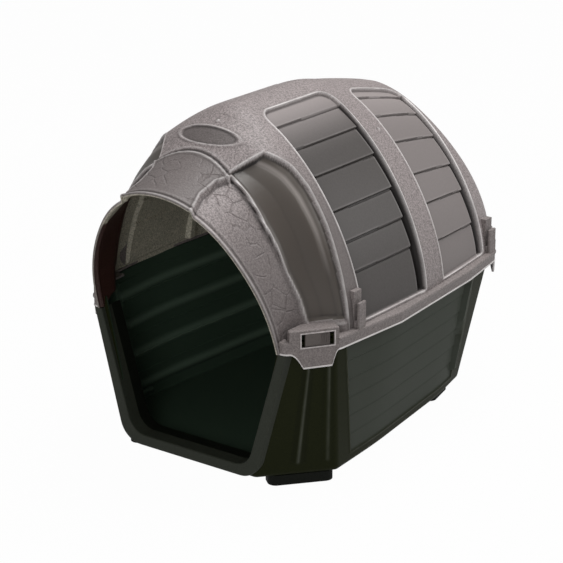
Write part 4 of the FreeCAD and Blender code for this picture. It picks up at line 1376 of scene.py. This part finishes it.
# %% Group helpers
def new_group(name, inputs, outputs):
    """Node group with named sockets, and its input and output nodes."""
    group = bpy.data.node_groups.new(name, "ShaderNodeTree")
    for label, kind, value in inputs:
        socket = group.interface.new_socket(label, in_out="INPUT", socket_type=kind)
        socket.default_value = value
    for label, kind in outputs:
        group.interface.new_socket(label, in_out="OUTPUT", socket_type=kind)
    return group, group.nodes.new("NodeGroupInput"), group.nodes.new("NodeGroupOutput")


def connect(tree, value, socket):
    """Link a socket to another, or set it to a plain value."""
    if isinstance(value, bpy.types.NodeSocket):
        tree.links.new(value, socket)
    else:
        socket.default_value = value


def math_node(tree, operation, first, second, clamp=False):
    """Math node whose two inputs are sockets or numbers."""
    node = tree.nodes.new("ShaderNodeMath")
    node.operation = operation
    node.use_clamp = clamp
    for socket, value in zip(node.inputs, (first, second)):
        connect(tree, value, socket)
    return node.outputs[0]


def mix_colour(tree, share, first, second):
    """Colour part of the way between two colours."""
    node = tree.nodes.new("ShaderNodeMix")
    node.data_type = "RGBA"
    connect(tree, share, node.inputs["Factor"])
    for socket, value in zip([s for s in node.inputs if s.type == "RGBA"], (first, second)):
        connect(tree, value, socket)
    return [s for s in node.outputs if s.type == "RGBA"][0]


def noise_node(tree, scale, detail):
    """Noise in the piece's own space."""
    node = tree.nodes.new("ShaderNodeTexNoise")
    connect(tree, scale, node.inputs["Scale"])
    node.inputs["Detail"].default_value = detail
    coordinates = tree.nodes.new("ShaderNodeTexCoord").outputs["Object"]
    tree.links.new(coordinates, node.inputs["Vector"])
    return node.outputs["Fac"]


def colour(values):
    """Colour socket value from three numbers."""
    return (*values, 1.0)


print("group helpers ready")

# %% Mould grain group
FLOAT = "NodeSocketFloat"
COLOUR = "NodeSocketColor"
COARSE_SCALE = 0.36
FINE_SHARE = 0.45
COARSE_SHARE = 0.55
MIDDLE_TONE = 0.5
GRAIN_CONTRAST = 7.0

mould_grain, grain_in, grain_out = new_group(
    "mould_grain",
    [("Grain Scale", FLOAT, 900.0), ("Grain Share", FLOAT, 0.5)],
    [("Height", FLOAT), ("Tone", FLOAT)],
)
fine = noise_node(mould_grain, grain_in.outputs["Grain Scale"], 2.0)
fine = math_node(mould_grain, "MULTIPLY", fine, FINE_SHARE)
coarse_scale = math_node(mould_grain, "MULTIPLY", grain_in.outputs["Grain Scale"], COARSE_SCALE)
coarse = noise_node(mould_grain, coarse_scale, 3.0)
coarse = math_node(mould_grain, "MULTIPLY", coarse, COARSE_SHARE)
height = math_node(mould_grain, "ADD", fine, coarse)
tone = math_node(mould_grain, "SUBTRACT", height, MIDDLE_TONE)
tone = math_node(mould_grain, "MULTIPLY", tone, GRAIN_CONTRAST)
tone = math_node(mould_grain, "MULTIPLY", tone, grain_in.outputs["Grain Share"])
tone = math_node(mould_grain, "ADD", tone, MIDDLE_TONE, clamp=True)
mould_grain.links.new(height, grain_out.inputs["Height"])
mould_grain.links.new(tone, grain_out.inputs["Tone"])
print("group", mould_grain.name)

# %% Edge highlight and hollow shade group
PATCH_SCALE = 38.0
PATCH_LEVEL = 0.35

edge_highlight_and_shade, edge_in, edge_out = new_group(
    "edge_highlight_and_shade",
    [
        ("Base Colour", COLOUR, colour((0.2, 0.2, 0.2))),
        ("Rubbed Colour", COLOUR, colour((0.5, 0.5, 0.5))),
        ("Hollow Colour", COLOUR, colour((0.02, 0.02, 0.02))),
        ("Edge", FLOAT, 0.0),
        ("Rub", FLOAT, 1.0),
        ("Hollow", FLOAT, 1.0),
    ],
    [("Colour", COLOUR)],
)
edge = edge_in.outputs
# Painted highlight: raised edges are lightened in patches; painted shade: hollows are darkened.
raised = math_node(edge_highlight_and_shade, "MULTIPLY", edge["Edge"], edge["Rub"], clamp=True)
patchy = noise_node(edge_highlight_and_shade, PATCH_SCALE, 3.0)
patchy = math_node(edge_highlight_and_shade, "ADD", patchy, PATCH_LEVEL, clamp=True)
raised = math_node(edge_highlight_and_shade, "MULTIPLY", raised, patchy)
sunk = math_node(edge_highlight_and_shade, "MULTIPLY", edge["Edge"], -1.0)
sunk = math_node(edge_highlight_and_shade, "MULTIPLY", sunk, edge["Hollow"], clamp=True)
lit = mix_colour(edge_highlight_and_shade, raised, edge["Base Colour"], edge["Rubbed Colour"])
shaded = mix_colour(edge_highlight_and_shade, sunk, lit, edge["Hollow Colour"])
edge_highlight_and_shade.links.new(shaded, edge_out.inputs["Colour"])
print("group", edge_highlight_and_shade.name)

# %% Leather crackle group
WARP_SCALE = 22.0
WARP_REACH = (0.014, 0.014, 0.014)
LINE_SHARPNESS = 14.0
BREAK_SCALE = 17.0
BREAK_LEVEL = 0.43

leather_crackle, crackle_in, crackle_out = new_group(
    "leather_crackle",
    [("Cell Scale", FLOAT, 30.0), ("Area", FLOAT, 0.0)],
    [("Height", FLOAT)],
)
own_place = leather_crackle.nodes.new("ShaderNodeTexCoord").outputs["Object"]
warp = leather_crackle.nodes.new("ShaderNodeTexNoise")
warp.inputs["Scale"].default_value = WARP_SCALE
shifted = leather_crackle.nodes.new("ShaderNodeVectorMath")
shifted.operation = "MULTIPLY_ADD"
shifted.inputs[1].default_value = WARP_REACH
cells = leather_crackle.nodes.new("ShaderNodeTexVoronoi")
cells.feature = "DISTANCE_TO_EDGE"
leather_crackle.links.new(own_place, warp.inputs["Vector"])
leather_crackle.links.new(warp.outputs["Color"], shifted.inputs[0])
leather_crackle.links.new(own_place, shifted.inputs[2])
leather_crackle.links.new(shifted.outputs[0], cells.inputs["Vector"])
leather_crackle.links.new(crackle_in.outputs["Cell Scale"], cells.inputs["Scale"])
line = cells.outputs["Distance"]
line = math_node(leather_crackle, "MULTIPLY", line, LINE_SHARPNESS, clamp=True)
line = math_node(leather_crackle, "SUBTRACT", 1.0, line)
broken = noise_node(leather_crackle, BREAK_SCALE, 1.0)
broken = math_node(leather_crackle, "SUBTRACT", broken, BREAK_LEVEL)
broken = math_node(leather_crackle, "MULTIPLY", broken, LINE_SHARPNESS, clamp=True)
line = math_node(leather_crackle, "MULTIPLY", line, broken)
line = math_node(leather_crackle, "MULTIPLY", line, crackle_in.outputs["Area"])
leather_crackle.links.new(line, crackle_out.inputs["Height"])
print("group", leather_crackle.name)


# %% Material helpers
def node_of(tree, kind):
    """The first node of a kind in a tree."""
    return next(node for node in tree.nodes if node.type == kind)


def new_material(name):
    """Material with an empty node tree but for its shader and output."""
    material = bpy.data.materials.new(name)
    material.use_nodes = True
    return material, material.node_tree, node_of(material.node_tree, "BSDF_PRINCIPLED")


def place_group(tree, group, **values):
    """A group's node in a material, with its inputs set or linked."""
    node = tree.nodes.new("ShaderNodeGroup")
    node.node_tree = group
    for label, value in values.items():
        connect(tree, value, node.inputs[label.replace("_", " ")])
    return node


def mask_value(tree, mask):
    """Value of a mask that is stored on the mesh."""
    node = tree.nodes.new("ShaderNodeAttribute")
    node.attribute_name = mask
    return node.outputs["Fac"]


def add_bump(tree, shader, height, distance):
    """Bump from a height, whose full reach is a distance in metres."""
    node = tree.nodes.new("ShaderNodeBump")
    node.inputs["Strength"].default_value = 1.0
    node.inputs["Distance"].default_value = distance
    tree.links.new(height, node.inputs["Height"])
    tree.links.new(node.outputs["Normal"], shader.inputs["Normal"])


print("material helpers ready")

# %% [markdown]
# ## The roof's finish
#
# The roof is one moulding with many tones: speckled grain on the ribs and the crown,
# smoother planks with painted shade towards the rim, a channel darkened by painted shade
# with a painted highlight along it, slots coloured near black as painted shade, a painted
# highlight on raised edges and painted shade in hollows, a lower front flank, hood and
# keystone in painted shade, and a pale grained inside with painted shade under the left
# of the hood. A painted image would blur close up. Here the masks on the mesh say where
# each tone lies, and the material lays one over the other.

# %% Roof colours
ROOF_COLOUR = (0.350, 0.304, 0.300)
ROOF_SPECK = (0.130, 0.111, 0.108)
# Painted shade colour for the lower front flank, the hood and the keystone.
ROOF_FRONT_PAINTED_SHADE = (0.108, 0.093, 0.089)
# Painted highlight colour for raised edges, and painted shade colour for hollows and slots.
ROOF_EDGE_HIGHLIGHT = (0.74, 0.71, 0.70)
ROOF_HOLLOW_PAINTED_SHADE = (0.020, 0.017, 0.016)
OVAL_FLOOR = (0.080, 0.069, 0.066)
# The channel's dark colour is painted shade in the dip, and its sheen colour a painted highlight.
CHANNEL_PAINTED_SHADE = (0.074, 0.062, 0.053)
CHANNEL_PAINTED_HIGHLIGHT = (0.240, 0.215, 0.200)
PLANK_COLOUR = (0.285, 0.251, 0.245)
# Painted shade colour for the planks towards the rim.
PLANK_PAINTED_SHADE = (0.046, 0.041, 0.038)
CABIN_COLOUR = (0.620, 0.575, 0.465)
CABIN_SPECK = (0.230, 0.218, 0.170)
# Painted shade colour for the inside of the hood.
HOOD_INSIDE_PAINTED_SHADE = (0.030, 0.010, 0.007)
SHADE_STRENGTH = 0.78
OVAL_STRENGTH = 0.75
CRACK_STRENGTH = 0.38
CRACK_HEIGHT = -1.1
ROOF_GRAIN_SCALE = 820.0
ROOF_ROUGHNESS = 0.50
CHANNEL_SMOOTHER = -0.08
ROOF_BUMP = 0.0010

roof_plastic, roof_tree, roof_shader = new_material("roof_plastic_grained")


def roof_mask(mask):
    """Value of one of the roof's masks in its material."""
    return mask_value(roof_tree, mask)


def roof_math(operation, first, second):
    """Math node in the roof's material."""
    return math_node(roof_tree, operation, first, second)


def over(share, below, above):
    """Colour laid over another in the roof's material, by a share."""
    colours = [value if isinstance(value, bpy.types.NodeSocket) else colour(value)
               for value in (below, above)]
    return mix_colour(roof_tree, share, *colours)


print("material", roof_plastic.name)

# %% Roof tones
grain = place_group(roof_tree, mould_grain, Grain_Scale=ROOF_GRAIN_SCALE, Grain_Share=0.65)
crackle = place_group(roof_tree, leather_crackle, Cell_Scale=34.0, Area=roof_mask("crackle_area"))
smooth = roof_mask("smooth_area")
channel = roof_mask("channel_area")
# Painted shade on the planks towards the rim.
plank = over(roof_mask("plank_painted_shade"), PLANK_COLOUR, PLANK_PAINTED_SHADE)
# The channel's painted shade with its painted highlight.
channel_shade_and_sheen = over(roof_mask("channel_painted_sheen"), CHANNEL_PAINTED_SHADE, CHANNEL_PAINTED_HIGHLIGHT)
outside = over(grain.outputs["Tone"], ROOF_SPECK, ROOF_COLOUR)
# Painted shade laid over the lower front flank, the hood and the keystone.
shade = roof_math("MULTIPLY", roof_mask("painted_front_shade"), SHADE_STRENGTH)
recess = roof_math("MULTIPLY", roof_mask("oval_floor"), OVAL_STRENGTH)
outside = over(shade, outside, ROOF_FRONT_PAINTED_SHADE)
outside = over(recess, outside, OVAL_FLOOR)
outside = over(smooth, outside, plank)
outside = over(channel, outside, channel_shade_and_sheen)
# Painted highlight on raised edges and painted shade in hollows.
rubbed = place_group(
    roof_tree, edge_highlight_and_shade, Base_Colour=outside, Rubbed_Colour=colour(ROOF_EDGE_HIGHLIGHT),
    Hollow_Colour=colour(ROOF_HOLLOW_PAINTED_SHADE), Edge=roof_mask("edge_light"), Rub=0.85, Hollow=1.3,
)
# Painted shade: the slots are coloured near black.
outside = over(roof_mask("slot_painted_shade"), rubbed.outputs["Colour"], ROOF_HOLLOW_PAINTED_SHADE)
inside = over(grain.outputs["Tone"], CABIN_SPECK, CABIN_COLOUR)
# Painted shade inside the left of the hood.
inside = over(roof_mask("hood_inside_painted_shade"), inside, HOOD_INSIDE_PAINTED_SHADE)
finished = over(roof_mask("inner_side"), outside, inside)
cracks = roof_math("MULTIPLY", crackle.outputs["Height"], CRACK_STRENGTH)
finished = over(cracks, finished, ROOF_SPECK)
roof_tree.links.new(finished, roof_shader.inputs["Base Color"])
print("roof colour mixed from", len(roof_tree.nodes), "nodes")

# %% Roof gloss and bump
roughness = roof_math("ADD", roof_math("MULTIPLY", channel, CHANNEL_SMOOTHER), ROOF_ROUGHNESS)
roof_tree.links.new(roughness, roof_shader.inputs["Roughness"])
roof_shader.inputs["Specular IOR Level"].default_value = 0.40
grain_height = roof_math("MULTIPLY", grain.outputs["Height"], roof_math("SUBTRACT", 1.0, smooth))
crackle_height = roof_math("MULTIPLY", crackle.outputs["Height"], CRACK_HEIGHT)
add_bump(roof_tree, roof_shader, roof_math("ADD", grain_height, crackle_height), ROOF_BUMP)
print("roof bump reaches", ROOF_BUMP, "m")

# %% [markdown]
# ## The plainer plastics and the rubber
#
# The rim, its lip, the tub, the doorway, the latches and the feet are each of one
# colour, with the same grain, a painted highlight on raised edges and painted shade in
# hollows. The lip is pale as a painted highlight, the doorway's frame is a paler copy of
# the tub's plastic as painted light, and the sleeve behind it is near black as painted
# shade. Node trees drawn one by one would be slow to change, so one function builds them
# all from named values. The tub then gets side panels made paler as painted light, and an
# inside made paler as painted light with a painted highlight on its ridges, laid over what
# the function made.

# %% Plain moulded plastics
def moulded_plastic(name, colours, roughness, gloss, grain_scale, bump_height):
    """Grained plastic with a painted highlight on raised edges and painted shade in hollows: base,
    speck, highlight and hollow colours.
    """
    base, speck, highlight_colour, hollow_shade = colours
    material, tree, shader = new_material(name)
    speckle = place_group(tree, mould_grain, Grain_Scale=grain_scale, Grain_Share=0.5)
    mixed = mix_colour(tree, speckle.outputs["Tone"], colour(speck), colour(base))
    edges = place_group(
        tree, edge_highlight_and_shade, Base_Colour=mixed, Rubbed_Colour=colour(highlight_colour),
        Hollow_Colour=colour(hollow_shade), Edge=mask_value(tree, "edge_light"), Rub=0.9, Hollow=1.0,
    )
    tree.links.new(edges.outputs["Colour"], shader.inputs["Base Color"])
    shader.inputs["Roughness"].default_value = roughness
    shader.inputs["Specular IOR Level"].default_value = gloss
    add_bump(tree, shader, speckle.outputs["Height"], bump_height)
    return material


rim_plastic = moulded_plastic(
    "rim_plastic_grained",
    ((0.275, 0.241, 0.234), (0.125, 0.108, 0.103), ROOF_EDGE_HIGHLIGHT, ROOF_HOLLOW_PAINTED_SHADE),
    roughness=0.55, gloss=0.32, grain_scale=820.0, bump_height=0.0008,
)
# The lip's pale colour is a painted highlight along the rim's lower edge.
lip_highlight_plastic = moulded_plastic(
    "lip_plastic_highlight",
    ((0.620, 0.575, 0.565), (0.380, 0.345, 0.335), ROOF_EDGE_HIGHLIGHT, ROOF_HOLLOW_PAINTED_SHADE),
    roughness=0.45, gloss=0.45, grain_scale=560.0, bump_height=0.0004,
)
latch_plastic = moulded_plastic(
    "latch_plastic_brown",
    ((0.115, 0.098, 0.090), (0.085, 0.072, 0.066), (0.30, 0.28, 0.27), (0.020, 0.017, 0.015)),
    roughness=0.45, gloss=0.4, grain_scale=1500.0, bump_height=0.0002,
)
print("the roof's plastics:", rim_plastic.name, lip_highlight_plastic.name, latch_plastic.name)

# %% Plastics of the tub
# Painted shade colour for the tub's hollows.
TUB_HOLLOW_PAINTED_SHADE = (0.003, 0.004, 0.002)

tub_plastic = moulded_plastic(
    "tub_plastic_dark",
    ((0.014, 0.016, 0.005), (0.010, 0.012, 0.004), (0.075, 0.080, 0.062), TUB_HOLLOW_PAINTED_SHADE),
    roughness=0.55, gloss=0.05, grain_scale=900.0, bump_height=0.0003,
)
# The frame is a paler copy of the tub's plastic: painted light on the doorway's face.
frame_lit_plastic = moulded_plastic(
    "door_frame_plastic",
    ((0.034, 0.038, 0.029), (0.025, 0.028, 0.020), (0.100, 0.105, 0.085), TUB_HOLLOW_PAINTED_SHADE),
    roughness=0.50, gloss=0.12, grain_scale=900.0, bump_height=0.0003,
)
# Near-black sleeve plastic: painted shade in the doorway's depth.
sleeve_shade_plastic = moulded_plastic(
    "sleeve_plastic_shaded",
    ((0.006, 0.007, 0.005), (0.004, 0.005, 0.003), (0.02, 0.02, 0.02), (0.003, 0.003, 0.003)),
    roughness=0.5, gloss=0.1, grain_scale=1300.0, bump_height=0.0003,
)
foot_rubber = moulded_plastic(
    "foot_rubber_black",
    ((0.010, 0.011, 0.009), (0.006, 0.007, 0.005), (0.03, 0.03, 0.028), (0.003, 0.003, 0.002)),
    roughness=0.75, gloss=0.1, grain_scale=700.0, bump_height=0.0005,
)
print("the tub's plastics:", tub_plastic.name, frame_lit_plastic.name, sleeve_shade_plastic.name)

# %% Panels and inside of the tub
# Painted light: the side panels are paler than the rest of the tub, the inside paler still, and
# the inner ridges carry a painted highlight.
TUB_PANEL_PAINTED_LIGHT = (0.052, 0.058, 0.047)
TUB_INSIDE_PAINTED_LIGHT = (0.036, 0.058, 0.040)
TUB_RIDGE_HIGHLIGHT = (0.090, 0.130, 0.095)

tub_tree = tub_plastic.node_tree
tub_base = node_of(tub_tree, "BSDF_PRINCIPLED").inputs["Base Color"]
tub_outside = tub_base.links[0].from_socket
panel_light_share = mask_value(tub_tree, "panel_painted_light")
ridge_highlight_share = mask_value(tub_tree, "inner_ridge_and_highlight")
tub_outside = mix_colour(tub_tree, panel_light_share, tub_outside, colour(TUB_PANEL_PAINTED_LIGHT))
tub_inside_lit = mix_colour(tub_tree, ridge_highlight_share, colour(TUB_INSIDE_PAINTED_LIGHT), colour(TUB_RIDGE_HIGHLIGHT))
tub_colour = mix_colour(tub_tree, mask_value(tub_tree, "inner_side"), tub_outside, tub_inside_lit)
tub_tree.links.new(tub_colour, tub_base)
print(tub_plastic.name, "mixed from", len(tub_tree.nodes), "nodes")

# %% [markdown]
# ## Hanging everything on the bodies
#
# The roof's pieces lift off together, and the tub stays on the floor. Each new piece
# is told which body carries it and which material it wears, and the two imported
# solids that the new shells replace are hidden. Pieces could be parented by hand,
# but one that is missed stays behind when the roof lifts, so they go through in lists.

# %% Ride and finish
def wear(piece, material):
    """Give a piece one material."""
    piece.data.materials.clear()
    piece.data.materials.append(material)


def dress(pieces, body, material):
    """Give pieces their body, slot and material."""
    for piece in pieces:
        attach(piece, body)
        wear(piece, material)
    print(len(pieces), "pieces ride on", body, "in", material.name)


dress(rim_bands + corner_pieces + lugs, "roof", rim_plastic)
dress([roof_form], "roof", roof_plastic)
dress([rim_lip] + window_borders, "roof", lip_highlight_plastic)
dress([tub_form, tub_flange] + keepers, "base", tub_plastic)
dress([door_frame], "base", frame_lit_plastic)
dress([door_shade_sleeve], "base", sleeve_shade_plastic)

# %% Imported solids
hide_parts("roof_shell")
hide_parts("base_tub")
kept_solids = {"slide_latch": latch_plastic, "foot_pad": foot_rubber}
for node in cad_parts:
    for start, material in kept_solids.items():
        if node.startswith(start) and bpy.data.objects.get(node):
            wear(bpy.data.objects[node], material)
            print(node, "in", material.name)

# %% [markdown]
# ## Studio light
#
# The kennel stands on a pale floor under one broad lamp. A fill lamp stands in front,
# to the right of the doorway, and a slightly weaker one at the right rear. More lamps
# would whiten the ground, but bleach the plastic too. So the white comes from what the
# camera and reflections see of the floor, and the plastic keeps its depth of tone.

# %% Floor
FLOOR_SIZE = 14.0
FLOOR_MIDDLE = (0.0, 2.0, 0.0)
FLOOR_GREY = (0.45, 0.45, 0.45)
CAMERA_WHITE = 0.98

bpy.ops.mesh.primitive_plane_add(size=FLOOR_SIZE, location=FLOOR_MIDDLE)
floor = bpy.context.object
floor.name = "studio_floor"
floor_material, floor_tree, floor_shader = new_material("studio_floor_pale")
floor_shader.inputs["Base Color"].default_value = colour(FLOOR_GREY)
floor_shader.inputs["Roughness"].default_value = 0.9
light_path = floor_tree.nodes.new("ShaderNodeLightPath")
seen = math_node(
    floor_tree, "MAXIMUM", light_path.outputs["Is Camera Ray"], light_path.outputs["Is Glossy Ray"]
)
seen = math_node(floor_tree, "MAXIMUM", seen, light_path.outputs["Is Transmission Ray"])
glow = floor_tree.nodes.new("ShaderNodeEmission")
mixer = floor_tree.nodes.new("ShaderNodeMixShader")
floor_output = node_of(floor_tree, "OUTPUT_MATERIAL")
floor_tree.links.new(math_node(floor_tree, "MULTIPLY", seen, CAMERA_WHITE), mixer.inputs[0])
floor_tree.links.new(floor_shader.outputs[0], mixer.inputs[1])
floor_tree.links.new(glow.outputs[0], mixer.inputs[2])
floor_tree.links.new(mixer.outputs[0], floor_output.inputs["Surface"])
floor.data.materials.append(floor_material)
print("floor", FLOOR_SIZE, "m wide")

# %% World
WORLD_STRENGTH = 0.30
WHITE = (1.0, 1.0, 1.0)

world = bpy.data.worlds.new("studio_world")
bpy.context.scene.world = world
world.use_nodes = True
world_tree = world.node_tree
background = node_of(world_tree, "BACKGROUND")
world_path = world_tree.nodes.new("ShaderNodeLightPath")
bright = math_node(
    world_tree, "MAXIMUM",
    world_path.outputs["Is Camera Ray"], world_path.outputs["Is Transmission Ray"],
)
world_strength = math_node(world_tree, "MULTIPLY", bright, 1.0 - WORLD_STRENGTH)
world_strength = math_node(world_tree, "ADD", world_strength, WORLD_STRENGTH)
background.inputs["Color"].default_value = colour(WHITE)
world_tree.links.new(world_strength, background.inputs["Strength"])
bpy.context.scene.view_settings.view_transform = "Standard"
print("world at", WORLD_STRENGTH)


# %% Lamps
# name, place, the point it is aimed at, size in metres, power in watts
LAMPS = (
    ("top_lamp", (0.3, 0.6, 3.2), (0.0, 0.0, 0.3), 1.6, 82.0),
    ("side_lamp", (2.6, 2.4, 1.9), (0.0, 0.0, 0.3), 1.4, 30.0),
    ("front_lamp", (1.4, -3.3, 1.4), (0.0, -0.2, 0.3), 1.2, 32.0),
)


def area_lamp(name, place, target, size, power):
    """Square lamp aimed at a point."""
    data = bpy.data.lights.new(name, "AREA")
    data.size = size
    data.energy = power
    lamp = bpy.data.objects.new(name, data)
    lamp.location = place
    lamp.rotation_euler = (Vector(target) - Vector(place)).to_track_quat("-Z", "Y").to_euler()
    bpy.context.scene.collection.objects.link(lamp)
    print(name, "at", place)


for lamp_values in LAMPS:
    area_lamp(*lamp_values)
